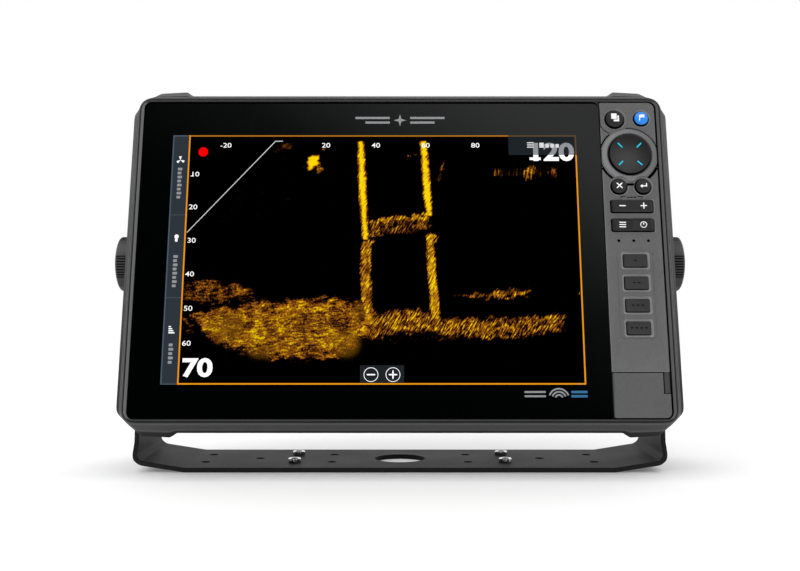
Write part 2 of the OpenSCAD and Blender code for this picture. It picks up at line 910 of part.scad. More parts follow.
// The knob turns about x: a ridged rim and a gently domed face
module knob(side) {
    ridges = 8;
    groups = 4;
    translate([0, 0, pivot_h]) sideways(side)
    difference() {
        intersection() {
            union() {
                translate([0, 0, knob_in]) cylinder(r = knob_r - 0.9, h = knob_tip - knob_in);
                translate([0, 0, knob_in + 0.6]) cylinder(r = knob_r, h = knob_tip - knob_in - 0.6);
            }
            translate([0, 0, knob_tip - dome_r]) sphere(r = dome_r);
        }
        for (g = [0:groups - 1], i = [0:ridges - 1])
            rotate(g * 360 / groups + (i - (ridges - 1) / 2) * 5.7 + 7)
                translate([knob_r, 0, knob_in + 1.4]) cylinder(r = 0.55, h = 20);
        translate([0, 0, knob_in - 1]) cylinder(r = stud_r, h = 11);
    }
}

module knob_stud(side) {
    translate([0, 0, pivot_h]) sideways(side)
        translate([0, 0, boss_face - insert_len + 0.5])
            cylinder(r = stud_r, h = knob_in + 10 - (boss_face - insert_len + 0.5));
}

module knob_washer(side) {
    translate([0, 0, pivot_h]) sideways(side)
        tube([0, 0], 11, stud_r + 0.2, arm_out, knob_in);
}

gimbal_bracket();
base_hex_screws();
front_bezel();
front_frame();
cover_glass();
screen_gasket();
lcd_cell();
backlight_unit();
chassis_plate();
keypad_fascia();
keypad_mat();
keypad_board();
keypad_switches();
status_lenses();
nav_post();
nav_gimbal_ring();
cursor_pad();
pages_button();
waypoint_button();
exit_button();
enter_button();
zoom_rocker();
menu_power_rocker();
quick_key(0);  // quick_key_1
quick_key(1);  // quick_key_2
quick_key(2);  // quick_key_3
quick_key(3);  // quick_key_4
card_door();
card_door_pin();
card_door_seal();
card_bay();
card_reader();
housing_gasket();
rear_housing();
heat_sink();
rear_screws();
vent_plug();
rating_plate();
power_socket();
sonar_sockets();
network_sockets();
connector_board();
main_board();
shield_can();
thermal_pad();
heat_spreader();
board_standoffs();
lcd_ribbon_cable();
keypad_ribbon_cable();
gps_antenna();
backup_battery();
knob_inserts();
friction_discs();
color("#2c2c2e") knob(-1);  // left_knob
color("#c8c8cc") knob_stud(-1);  // left_knob_stud
color("#dcdcd6") knob_washer(-1);  // left_knob_washer
color("#2c2c2e") knob(1);  // right_knob
color("#c8c8cc") knob_stud(1);  // right_knob_stud
color("#dcdcd6") knob_washer(1);  // right_knob_washer
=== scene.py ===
"""Looks of the chartplotter display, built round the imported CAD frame.

Everything on the display is drawn in the display's own millimetres, the same as in the CAD source:
x to the right and y up the screen, both from the middle of the face, and z out of the glass.
ON_DISPLAY leans it back and hangs it on the pivot, using the frame's own joints.
"""

import json
import math

import bmesh
import bpy
from mathutils import Matrix, Vector, noise
from mathutils.geometry import delaunay_2d_cdt


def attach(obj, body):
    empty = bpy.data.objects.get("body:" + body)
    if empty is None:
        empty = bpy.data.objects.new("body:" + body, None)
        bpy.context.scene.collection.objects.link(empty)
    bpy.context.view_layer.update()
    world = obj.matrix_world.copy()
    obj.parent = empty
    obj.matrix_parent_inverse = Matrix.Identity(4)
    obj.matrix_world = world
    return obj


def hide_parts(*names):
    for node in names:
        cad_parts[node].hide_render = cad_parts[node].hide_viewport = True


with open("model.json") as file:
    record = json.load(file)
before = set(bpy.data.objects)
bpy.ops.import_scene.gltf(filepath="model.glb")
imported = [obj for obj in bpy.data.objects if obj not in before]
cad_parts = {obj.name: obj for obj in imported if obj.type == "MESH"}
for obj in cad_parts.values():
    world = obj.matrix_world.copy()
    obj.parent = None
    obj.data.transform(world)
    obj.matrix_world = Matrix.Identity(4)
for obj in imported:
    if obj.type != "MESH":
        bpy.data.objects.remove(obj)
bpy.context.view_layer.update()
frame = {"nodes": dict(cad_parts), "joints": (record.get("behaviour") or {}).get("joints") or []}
MM = 0.001

joints = {j["name"]: j for j in frame["joints"]}
PIVOT = Vector(joints["display_tilt"]["pos_m"])
press = Vector(joints["pages_button_press"]["axis"])
LEAN = math.atan2(-press.z, press.y)
ON_DISPLAY = (
    Matrix.Translation(PIVOT)
    @ Matrix.Rotation(math.pi / 2 - LEAN, 4, "X")
    @ Matrix.Scale(MM, 4)
    @ Matrix.Translation((0, -5.1, 40.2))
)
IN_ROW = Matrix.Scale(MM, 4)
MIDDLE = ON_DISPLAY @ Vector((0, 0, 0))
UP, OUT = ((ON_DISPLAY.to_3x3() @ Vector(way)).normalized() for way in ((0, 1, 0), (0, 0, 1)))

# Places and sizes on the face, in the display's millimetres
PAGES, WAYPOINT, EXIT, ENTER = (139.5, 91.7), (156.7, 92.0), (140.2, 45.6), (155.6, 45.6)
PAD, ZOOM, MENU = (147.8, 66.7), (147.8, 32.2), (147.8, 19.75)
LENSES = [(138.3, 9.3), (147.7, 9.3), (157.0, 9.3)]
QUICK = [(148.0, -3.75 - 14.47 * i) for i in range(4)]
KEY_GAP = 0.3
BAR_HX, QUICK_HX, BAR_HY = 13.5, 7.5, 4.2
FACE_HX, FACE_HY, FRAME_HX, FRAME_HY, FRAME_R = 166.4, 103.7, 168.4, 105.0, 6.7
PANEL = (130.1, -74.5, 165.5, 103.3)
PICTURE = (-146.7, -82.45, 113.9, 80.45)
# Round keys: name, middle, radius and height of the cap, radius of the recess, material
ROUND_KEYS = [("pages", PAGES, 5.9, 2.2, 7.6, "key"), ("waypoint", WAYPOINT, 4.7, 1.9, 6.3, "blue"),
              ("exit", EXIT, 5.0, 1.9, 6.6, "key"), ("enter", ENTER, 5.0, 1.9, 6.6, "key")]
# Recesses of the wide keys: middle, half width, half height, corner radius
BAR_RECESSES = [(at, 14.5, 5.2, 1.9) for at in (ZOOM, MENU)] + [(at, 9.2, 5.8, 1.8) for at in QUICK]


# ---------- outlines ----------

def pairs(ring):
    """Each item of a closed ring with the next one."""
    return zip(ring, ring[1:] + ring[:1])


def polar(at, r, degrees):
    """The place at a distance and an angle from another."""
    t = math.radians(degrees)
    return at[0] + r * math.cos(t), at[1] + r * math.sin(t)


def circle(at, r, n=64):
    turns = [2 * math.pi * i / n for i in range(n)]
    return [(at[0] + r * math.cos(t), at[1] + r * math.sin(t)) for t in turns]


def arc(at, r, a0, a1, n=24):
    return [polar(at, r, a0 + (a1 - a0) * i / n) for i in range(n + 1)]


def box(x0, y0, x1, y1):
    return [(x0, y0), (x1, y0), (x1, y1), (x0, y1)]


def rounded(x0, y0, x1, y1, r, n=8):
    """Outline of a rectangle with round corners, anticlockwise."""
    middles = [(x1 - r, y1 - r), (x0 + r, y1 - r), (x0 + r, y0 + r), (x1 - r, y0 + r)]
    return [p for k, at in enumerate(middles) for p in arc(at, r, 90 * k, 90 * k + 90, n)]


def centred(at, hx, hy, r, n=8):
    return rounded(at[0] - hx, at[1] - hy, at[0] + hx, at[1] + hy, r, n)


def between(a, b, t):
    return [(ax + (bx - ax) * t, ay + (by - ay) * t) for (ax, ay), (bx, by) in zip(a, b)]


def along(points, half, back=0.0):
    """The outline at half a width to each side of the points, pulled in at both ends by back."""
    left, right = [], []
    last = len(points) - 1
    for i, p in enumerate(points):
        d = (Vector(points[min(i + 1, last)]) - Vector(points[max(i - 1, 0)])).normalized()
        side = Vector((-d.y, d.x)) * half
        shift = d * (back if i == 0 else -back if i == last else 0)
        left.append((p[0] + side.x + shift.x, p[1] + side.y + shift.y))
        right.append((p[0] - side.x + shift.x, p[1] - side.y + shift.y))
    return left + right[::-1]


def lift(outline, z):
    return [(x, y, z) for x, y in outline]


def inside(p, outline):
    x, y = p
    hit = False
    for (x0, y0), (x1, y1) in pairs(outline):
        if (y0 > y) != (y1 > y) and x < (x1 - x0) * (y - y0) / (y1 - y0) + x0:
            hit = not hit
    return hit


def off_segment(x, y, a, b):
    """Distance to the segment from a to b, and the nearest place along its line, from 0 at a to 1 at b."""
    dx, dy = b[0] - a[0], b[1] - a[1]
    k = ((x - a[0]) * dx + (y - a[1]) * dy) / (dx * dx + dy * dy)
    t = max(0.0, min(1.0, k))
    return math.hypot(x - a[0] - t * dx, y - a[1] - t * dy), k


def line_distance(x, y, points):
    """Distance to an open line, and whether the place lies beyond one of its ends."""
    best, past = 1e9, False
    last = len(points) - 2
    for i, (a, b) in enumerate(zip(points, points[1:])):
        d, k = off_segment(x, y, a, b)
        if d < best:
            best, past = d, (i == 0 and k < -1e-4) or (i == last and k > 1 + 1e-4)
    return best, past


def edge_distance(x, y, outline):
    """How far a place is inside an outline, or outside it when negative."""
    return min(off_segment(x, y, a, b)[0] for a, b in pairs(outline)) * (1 if inside((x, y), outline) else -1)


def box_inset(x, y, at, hx, hy, r):
    """How far a place is inside a rectangle with round corners."""
    dx, dy = abs(x - at[0]) - hx + r, abs(y - at[1]) - hy + r
    return r - math.hypot(max(dx, 0.0), max(dy, 0.0)) - min(max(dx, dy), 0.0)


def stepped(table, v):
    """Value at v on a line through the (place, value) points of a table."""
    for (a, p), (b, q) in zip(table, table[1:]):
        if v <= b:
            return p + (q - p) * max(0.0, v - a) / (b - a)
    return table[-1][1]


def smooth(low, high, v):
    t = min(1.0, max(0.0, (v - low) / (high - low)))
    return t * t * (3 - 2 * t)


def filled(outer, holes=(), contours=(), loose=()):
    """Vertices and faces that fill outer but not its holes, with vertices on contours and loose points."""
    points, edges = [], []
    for outline in [outer, *holes, *contours]:
        edges += pairs(list(range(len(points), len(points) + len(outline))))
        points += [Vector(p) for p in outline]
    verts, _, faces, _, _, _ = delaunay_2d_cdt(points + [Vector(p) for p in loose], edges, [], 1, 1e-5)
    kept = []
    for f in faces:
        mid = sum((verts[i] for i in f), Vector((0, 0))) / len(f)
        if inside(mid, outer) and not any(inside(mid, h) for h in holes):
            kept.append(f)
    return verts, kept


# ---------- solids ----------

class Shell:
    """Collects vertices and faces, in millimetres."""

    def __init__(self):
        self.v, self.f = [], []

    def put(self, points, faces=()):
        """Adds points, and faces that count from the first of them."""
        start = len(self.v)
        self.v += [tuple(p) for p in points]
        self.f += [tuple(i + start for i in f) for f in faces]
        return list(range(start, len(self.v)))

    def add(self, other):
        self.put(other.v, other.f)

    def bridge(self, a, b):
        self.f += [(a0, a1, b1, b0) for (a0, b0), (a1, b1) in pairs(list(zip(a, b)))]

    def chain(self, rings):
        """Joins each ring of points to the next."""
        made = [self.put(r) for r in rings]
        for a, b in zip(made, made[1:]):
            self.bridge(a, b)
        return made

    def fan(self, ring, point):
        tip, = self.put([point])
        self.f += [(a, b, tip) for a, b in pairs(ring)]

    def loft(self, rings, closed=False):
        made = self.chain(rings)
        if closed:
            self.bridge(made[-1], made[0])
        else:
            self.f += [tuple(made[0]), tuple(made[-1])]

    def flat(self, outer, holes=(), z=0.0):
        """A flat face at height z inside outer and outside each hole."""
        verts, faces = filled(outer, holes)
        self.put([(v.x, v.y, z) for v in verts], faces)

    def plate(self, outline, z0, z1):
        """A thin flat solid with the given outline."""
        self.loft([lift(outline, z0), lift(outline, z1)])

    def terraced(self, outer, holes, contours, bottom, height):
        """A plate whose top is height(x, y), with vertices along the contours. The walls of its outer edge
        and of its holes go straight down to the flat bottom."""
        verts, faces = filled(outer, holes, contours)
        self.put([(v.x, v.y, height(v.x, v.y)) for v in verts], faces)
        for outline in [outer] + holes:
            self.bridge(self.put([(x, y, height(x, y)) for x, y in outline]), self.put(lift(outline, bottom)))
        self.flat(outer, holes, bottom)


def lathe(at, profile, n=72):
    """A turned solid standing on the face, through (radius, height) points from the bottom up."""
    s = Shell()
    made = s.chain([lift(circle(at, r, n), z) for r, z in profile if r > 0])
    for ring, (r, z) in ((made[0], profile[0]), (made[-1], profile[-1])):
        if r > 0:
            s.f.append(tuple(ring))
        else:
            s.fan(ring, (*at, z))
    return s


def link(name, mesh):
    obj = bpy.data.objects.new(name, mesh)
    bpy.context.scene.collection.objects.link(obj)
    return obj


def piece(name, shell, body, material, place=ON_DISPLAY, replaces=(), smooth=32):
    """A finished piece: outward normals, smooth where it is nearly flat, riding on its body."""
    mesh = bpy.data.meshes.new(name)
    mesh.from_pydata([place @ Vector(p) for p in shell.v], [], shell.f)
    bm = bmesh.new()
    bm.from_mesh(mesh)
    bmesh.ops.remove_doubles(bm, verts=bm.verts, dist=1e-6)
    bmesh.ops.recalc_face_normals(bm, faces=bm.faces)
    bm.to_mesh(mesh)
    bm.free()
    mesh.shade_smooth()
    mesh.set_sharp_from_angle(angle=math.radians(smooth))
    mesh.materials.append(M[material])
    obj = link(name, mesh)
    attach(obj, body)
    if replaces:
        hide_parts(*replaces)


# ---------- material helpers ----------

class Graph:
    """Builds a material's nodes. A value that is a socket is linked, any other is set."""

    def __init__(self, owner, out="ShaderNodeOutputMaterial", place="Object"):
        if isinstance(owner, str):
            owner = bpy.data.materials.new(owner)
        owner.use_nodes = True
        self.mat, self.tree = owner, owner.node_tree
        self.tree.nodes.clear()
        self.out = self.node(out)
        self.place = self.node("ShaderNodeTexCoord").outputs[place]

    def node(self, kind, **values):
        """A node. Its own settings start with _, its sockets go by name, or by number after an i."""
        n = self.tree.nodes.new(kind)
        for key, value in values.items():
            if key[0] == "_":
                setattr(n, key[1:], value)
            else:
                by_number = key[0] == "i" and key[1:].isdigit()
                self.put(n.inputs[int(key[1:]) if by_number else key.replace("__", " ")], value)
        return n

    def put(self, socket, value):
        if isinstance(value, bpy.types.NodeSocket):
            self.tree.links.new(value, socket)
        else:
            socket.default_value = value

    def noise(self, scale, detail=3.0, rough=0.55, vector=None, distortion=0.0):
        return self.node("ShaderNodeTexNoise", Vector=vector or self.place, Scale=scale, Detail=detail,
                         Roughness=rough, Distortion=distortion).outputs["Fac"]

    def stretched(self, scale, turn=(0, 0, 0)):
        return self.node("ShaderNodeMapping", Vector=self.place, Rotation=turn, Scale=scale).outputs[0]

    def span(self, value, low, high, to_low=0.0, to_high=1.0):
        return self.node("ShaderNodeMapRange", Value=value, From__Min=low, From__Max=high,
                         To__Min=to_low, To__Max=to_high).outputs[0]

    def math(self, how, a, b=0.0):
        return self.node("ShaderNodeMath", _operation=how, i0=a, i1=b).outputs[0]

    def add(self, a, b):
        return self.math("ADD", a, b)

    def times(self, a, b):
        return self.math("MULTIPLY", a, b)

    def blend(self, amount, a, b, how="MIX"):
        return self.node("ShaderNodeMix", _data_type="RGBA", _blend_type=how, i0=amount, i6=a, i7=b).outputs[2]

    def shade(self, colour, amount):
        """A colour made darker or lighter by a factor."""
        even = self.node("ShaderNodeCombineColor", Red=amount, Green=amount, Blue=amount).outputs[0]
        return self.blend(1.0, colour, even, "MULTIPLY")

    def ramp(self, value, stops):
        """A colour that changes along the stops, each a place and a colour or a grey."""
        n = self.node("ShaderNodeValToRGB", Fac=value)
        r = n.color_ramp
        r.elements.remove(r.elements[-1])
        for i, (at, colour) in enumerate(stops):
            e = r.elements[0] if i == 0 else r.elements.new(at)
            e.position = at
            e.color = (*colour, 1) if isinstance(colour, tuple) else (colour, colour, colour, 1)
        return n.outputs[0]

    def bump(self, height, strength, distance, normal=None):
        n = self.node("ShaderNodeBump", Height=height, Strength=strength, Distance=distance)
        if normal:
            self.put(n.inputs["Normal"], normal)
        return n.outputs[0]

    def edges(self, low=0.53, high=0.6):
        return self.span(self.node("ShaderNodeNewGeometry").outputs["Pointiness"], low, high)

    def vector(self, how, a, b, out=0):
        return self.node("ShaderNodeVectorMath", _operation=how, i0=a, i1=b).outputs[out]

    def towards(self, way):
        """Place from the middle of the face along one way, in metres."""
        place = self.vector("DOT_PRODUCT", self.place, tuple(way), "Value")
        return self.math("SUBTRACT", place, MIDDLE.dot(way))

    def across(self):
        return self.node("ShaderNodeSeparateXYZ", Vector=self.place).outputs["X"]

    def off_axis(self, middle, way=OUT):
        """Distance from the line through middle that points one way, which is straight out of the face."""
        apart = self.vector("SUBTRACT", self.place, tuple(middle))
        return self.vector("LENGTH", self.vector("CROSS_PRODUCT", apart, tuple(way)), (0, 0, 0), "Value")

    def finish(self, colour, rough, normal=None, shine=0.5, **more):
        shader = self.node("ShaderNodeBsdfPrincipled", Base__Color=colour, Roughness=rough,
                           Specular__IOR__Level=shine, **more)
        if normal:
            self.put(shader.inputs["Normal"], normal)
        self.put(self.out.inputs["Surface"], shader.outputs[0])
        return self.mat


def grey(v):
    return v, v, v * 1.02, 1


def textured_plastic(name, value, rough=0.55, grain=0.10, tint=(1.0, 1.0, 1.02), lift_edges=0.6, painted_light=None):
    """Moulded plastic with a fine spark-eroded texture, faint mottling and edges rubbed a little bright.
    painted_light(g, colour, value) paints one part's light and shade and returns the colour and the shine."""
    g = Graph(name)
    fine, cloud = g.noise(1500, 2.0, 0.6), g.noise(45, 3.0, 0.5)
    amount = g.add(g.span(fine, 0.3, 0.7, 1 - grain, 1 + grain), g.span(cloud, 0.3, 0.7, -0.04, 0.04))
    colour = g.shade(tuple(value * t for t in tint) + (1,), amount)
    scuffs = g.times(g.edges(0.53, 0.62), g.span(g.noise(160, 4.0, 0.6), 0.4, 0.62, 0.15, 0.25))
    light = min(1.0, value * (1 + lift_edges) + 0.02)
    colour, shine = g.blend(scuffs, colour, (light, light, light, 1)), 0.5
    # painted light and shade of one part, when it has any
    if painted_light:
        colour, shine = painted_light(g, colour, value)
    roughness = g.span(g.add(g.noise(300, 3.0), cloud), 0.7, 1.3, rough - 0.07, rough + 0.07)
    grainy = g.bump(g.noise(2600, 2.0, 0.5), 0.22, 0.00006)
    return g.finish(colour, roughness, g.bump(cloud, 0.05, 0.0004, grainy), shine)


def painted_panel_light(g, colour, value):
    """The key panel's painted light: a painted highlight on the pad's ring, strongest on its left side, and on
    the slopes just below its face; painted shade, black and without shine, on what lies deeper."""
    height, from_pad = g.towards(OUT), g.off_axis(ON_DISPLAY @ Vector((*PAD, 0)))
    on_ring = g.times(g.span(from_pad, 0.0143, 0.0150), g.span(from_pad, 0.0172, 0.0182, 1.0, 0.0))
    # painted highlight on the pad's ring, strongest on its left side
    painted_left_light = g.span(g.across(), 0.131, 0.165, 0.85, 0.25)
    colour = g.blend(g.times(on_ring, painted_left_light), colour, grey(value * 2.0))
    # painted highlight on the slopes just below the face
    colour = g.blend(g.span(height, -0.00014, -0.00003, 0.75, 0.0), colour, grey(value * 2.9))
    # painted shade, black and without shine, on what lies deeper
    painted_shade = g.span(height, -0.00125, -0.0009, 1.0, 0.0)
    return g.blend(painted_shade, colour, grey(0.0015)), g.span(painted_shade, 0.0, 1.0, 0.5, 0.0)


def painted_bezel_light(g, colour, value):
    """The bezel's painted light: painted shade, with less shine, low down at the back, on the rim and under the
    lower edge, and a painted highlight along the fold at the bottom.
    """
    height, up = g.towards(OUT), g.towards(UP)
    low = g.span(up, -0.107, -0.1062, 1.0, 0.0)
    off_fold = g.math("ABSOLUTE", g.add(height, 0.0047))
    back, rim = g.span(height, -0.0056, -0.0047, 0.86, 0.0), g.span(height, -0.0078, -0.0072, 0.95, 0.0)
    behind = g.times(g.math("MAXIMUM", back, rim), g.span(up, -0.080, 0.050, 1.0, 0.0))
    under = g.times(g.span(height, -0.0012, -0.0003, 0.38, 0.0), low)
    painted_shade = g.math("MAXIMUM", behind, under)
    # painted shade at the back, on the rim and under the lower edge
    colour = g.blend(painted_shade, colour, grey(value * 0.12))
    # painted highlight along the fold at the bottom
    colour = g.blend(g.times(g.span(off_fold, 0.0003, 0.0006, 0.3, 0.0), low), colour, grey(value * 2.0))
    return colour, g.span(painted_shade, 0.0, 1.0, 0.5, 0.1)


def painted_frame_light(g, colour, value):
    """The inner frame's painted light: painted shade along its top and bottom, a painted highlight down its
    left side.
    """
    # painted shade along the top and bottom
    ends = g.span(g.math("ABSOLUTE", g.towards(UP)), 0.1028, 0.1038, 0.0, 0.62)
    colour = g.blend(ends, colour, grey(value * 0.12))
    # painted highlight down the left side
    return g.blend(g.span(g.across(), -0.1660, -0.1652, 0.45, 0.0), colour, grey(value * 2.2)), 0.5


def key_plastic(name, value, rough=0.42, tint=(1.0, 1.0, 1.02), shade=None):
    """Satin key caps, smoother than the panel, with finger polish in the middle of the pattern and a painted
    highlight on their edges. shade is the height below which a key's walls get a painted black shadow without
    shine, and the height above which they do not."""
    g = Graph(name)
    polish, fine = g.noise(120, 3.0, 0.5), g.noise(2200, 2.0, 0.5)
    amount = g.add(g.span(fine, 0.3, 0.7, 0.94, 1.06), g.span(polish, 0.35, 0.65, -0.05, 0.05))
    colour = g.shade(tuple(value * t for t in tint) + (1,), amount)
    # painted highlight on the edges
    colour, shine = g.blend(g.times(g.edges(), 0.25), colour, grey(min(1, value * 2.2 + 0.03))), 0.35
    if shade:
        # painted black shadow, without shine, on the walls below the shade heights
        painted_shade = g.span(g.towards(OUT), shade[0] * MM, shade[1] * MM, 1.0, 0.0)
        colour, shine = g.blend(painted_shade, colour, grey(0.0008)), g.span(painted_shade, 0.0, 1.0, 0.35, 0.0)
    return g.finish(colour, g.span(polish, 0.35, 0.65, rough - 0.08, rough + 0.08),
                    g.bump(fine, 0.1, 0.00004), shine)


def pad_plastic():
    """The cursor pad's painted light: a painted highlight near the middle of its hollow, painted shade towards
    the rim and a painted black shadow, without shine, down its side.
    """
    g = Graph("pad_plastic")
    fine, cloud = g.noise(2200, 2.0, 0.5), g.noise(90, 3.0, 0.5)
    # painted highlight near the middle of the hollow, fading to painted shade at the rim
    from_painted_highlight = g.off_axis(ON_DISPLAY @ Vector((PAD[0] - 2.6, PAD[1] - 3.4, 0)))
    tone = g.ramp(g.span(from_painted_highlight, 0.0, 0.0165),
                  [(0.0, 0.050), (0.3, 0.042), (0.65, 0.024), (0.85, 0.016), (1.0, 0.014)])
    colour = g.shade(tone, g.add(g.span(fine, 0.3, 0.7, 0.92, 1.06), g.span(cloud, 0.35, 0.65, -0.04, 0.04)))
    # painted black shadow, without shine, down the side
    side = g.span(g.off_axis(ON_DISPLAY @ Vector((*PAD, 0))), 0.01295, 0.0133)
    return g.finish(g.blend(side, colour, grey(0.0008)), g.span(cloud, 0.35, 0.65, 0.40, 0.5),
                    g.bump(fine, 0.1, 0.00004), g.span(side, 0.0, 1.0, 0.35, 0.0))


def knob_plastic():
    """Knob grips: satin plastic with painted light, paler above the middle and darker at its ends, and painted
    black shade, with less shine, in the grooves.
    """
    g = Graph("knob_plastic")
    fine, cloud = g.noise(1500, 2.0, 0.6), g.noise(60, 3.0, 0.5)
    height = g.node("ShaderNodeSeparateXYZ", Vector=g.vector("SUBTRACT", g.place, tuple(PIVOT))).outputs["Z"]
    # painted light: paler above the middle, darker towards the top and bottom
    painted_height_light = g.ramp(g.span(height, -0.018, 0.018), [(0.0, 0.06), (0.10, 0.16), (0.22, 0.42), (0.45, 0.55),
                                                  (0.62, 0.60), (0.72, 0.95), (0.82, 0.90), (0.90, 0.30),
                                                  (1.0, 0.12)])
    tone = g.add(g.span(fine, 0.3, 0.7, 0.058, 0.070), g.span(cloud, 0.35, 0.65, -0.006, 0.006))
    tone = g.times(g.times(tone, 1.65), painted_height_light)
    colour = g.shade(grey(1.0), tone)
    radius, side = g.off_axis(PIVOT, (1.0, 0.0, 0.0)), g.math("ABSOLUTE", g.across())
    gripped = g.times(g.span(side, 0.1708, 0.1715), g.span(side, 0.1842, 0.1849, 1.0, 0.0))
    # painted black shade, with less shine, in the grip grooves
    painted_groove_shade = g.times(g.span(radius, 0.01715, 0.01780, 1.0, 0.0), gripped)
    return g.finish(g.blend(painted_groove_shade, colour, grey(0.001)), g.span(cloud, 0.35, 0.65, 0.4, 0.5),
                    g.bump(fine, 0.15, 0.00005), g.span(painted_groove_shade, 0.0, 1.0, 0.3, 0.0))


def coated_steel(name, value):
    """Powder-coated plate: orange-peel texture, dust specks, and thin bright rubs on its edges."""
    g = Graph(name)
    peel, cloud = g.noise(900, 3.0, 0.6), g.noise(22, 4.0, 0.55)
    speck = g.span(g.noise(2400, 1.0), 0.66, 0.72, 0.0, 0.12)
    amount = g.add(g.span(peel, 0.3, 0.7, 0.93, 1.07), g.span(cloud, 0.3, 0.7, -0.06, 0.06))
    colour = g.blend(speck, g.shade(grey(value), amount), grey(value * 2.5))
    rubs = g.times(g.edges(0.54, 0.64), g.span(g.noise(90, 5.0, 0.65), 0.45, 0.65, 0.0, 0.3))
    return g.finish(g.blend(rubs, colour, grey(0.04)), g.span(g.add(peel, cloud), 0.7, 1.3, 0.50, 0.62),
                    g.bump(peel, 0.25, 0.00008), 0.10)


def metal(name, colour, rough, brushed=True):
    """Bare or plated metal with fine drawn lines, smudges and slightly dull patches."""
    g = Graph(name)
    lines = g.noise(900, 3.0, 0.6, g.stretched((1, 14, 1) if brushed else (1, 1, 1)))
    smudge = g.noise(60, 4.0, 0.6)
    tone = g.shade((*colour, 1), g.span(g.add(lines, smudge), 0.6, 1.4, 0.88, 1.06))
    return g.finish(tone, g.span(smudge, 0.3, 0.7, rough - 0.05, rough + 0.1),
                    g.bump(lines, 0.06 if brushed else 0.03, 0.00005), Metallic=1.0)


def black_glass():
    """Polished cover glass over a black border print, with faint wiping marks."""
    g = Graph("black_glass")
    smear = g.noise(35, 4.0, 0.6, g.stretched((1, 0.25, 1), (0, 0, 0.5)))
    tone = g.blend(g.span(smear, 0.3, 0.7), (0.0002, 0.0006, 0.0006, 1), (0.0004, 0.0008, 0.0008, 1))
    return g.finish(tone, g.span(smear, 0.3, 0.75, 0.05, 0.10), g.bump(g.noise(6, 1.0), 0.01, 0.002), IOR=1.5)


def rubber(name, value, rough=0.75, shine=0.5):
    """Soft black rubber or silicone with a bloom of paler dust."""
    g = Graph(name)
    fine, bloom = g.noise(1800, 2.0, 0.5), g.noise(70, 4.0, 0.6)
    colour = g.blend(g.span(bloom, 0.45, 0.75, 0, 0.35), grey(value), grey(value * 1.9))
    return g.finish(colour, g.span(fine, 0.3, 0.7, rough - 0.06, rough + 0.08),
                    g.bump(fine, 0.2, 0.00006), shine)


def circuit_board():
    """Green solder mask with traces, pads and a weave showing through."""
    g = Graph("circuit_board")
    traces = g.node("ShaderNodeTexBrick", Vector=g.place, Scale=160.0).outputs["Fac"]
    cells = g.node("ShaderNodeTexVoronoi", Vector=g.place, Scale=420.0).outputs["Distance"]
    pads = g.times(g.span(cells, 0.16, 0.2, 1, 0), g.span(g.noise(60), 0.45, 0.55))
    colour = g.blend(g.times(traces, 0.5), (0.012, 0.085, 0.035, 1), (0.03, 0.17, 0.07, 1))
    colour = g.blend(pads, colour, (0.55, 0.5, 0.35, 1))
    return g.finish(colour, g.span(traces, 0, 1, 0.3, 0.4), g.bump(traces, 0.2, 0.0001))


def print_ink(name, colour, glow=0.0, shine=0.5):
    """Printed or lit mark: slightly uneven ink. glow makes it shine by itself."""
    g = Graph(name)
    uneven = g.span(g.noise(700, 3.0), 0.3, 0.7, 0.9, 1.0)
    tone = g.shade((*colour, 1), uneven)
    more = {"Emission__Color": tone, "Emission__Strength": glow} if glow else {}
    return g.finish(tone, g.span(uneven, 0.9, 1.0, 0.45, 0.55), shine=shine, **more)


def shining(g, tone, rough, strength=1.0):
    """A surface that only gives off light."""
    return g.finish((0, 0, 0, 1), rough, shine=0.0, Emission__Color=tone, Emission__Strength=strength)


def lit(name, colour, strength=1.0):
    """A flat area of the lit picture: fine vertical pixel lines over one colour."""
    g = Graph("lit_" + name)
    lines = g.span(g.noise(1200, 1.0, 0.5, g.stretched((1, 0.05, 1))), 0.3, 0.7, 0.93, 1.0)
    return shining(g, g.shade((*colour, 1), lines), g.span(lines, 0.93, 1, 0.5, 0.6), strength)


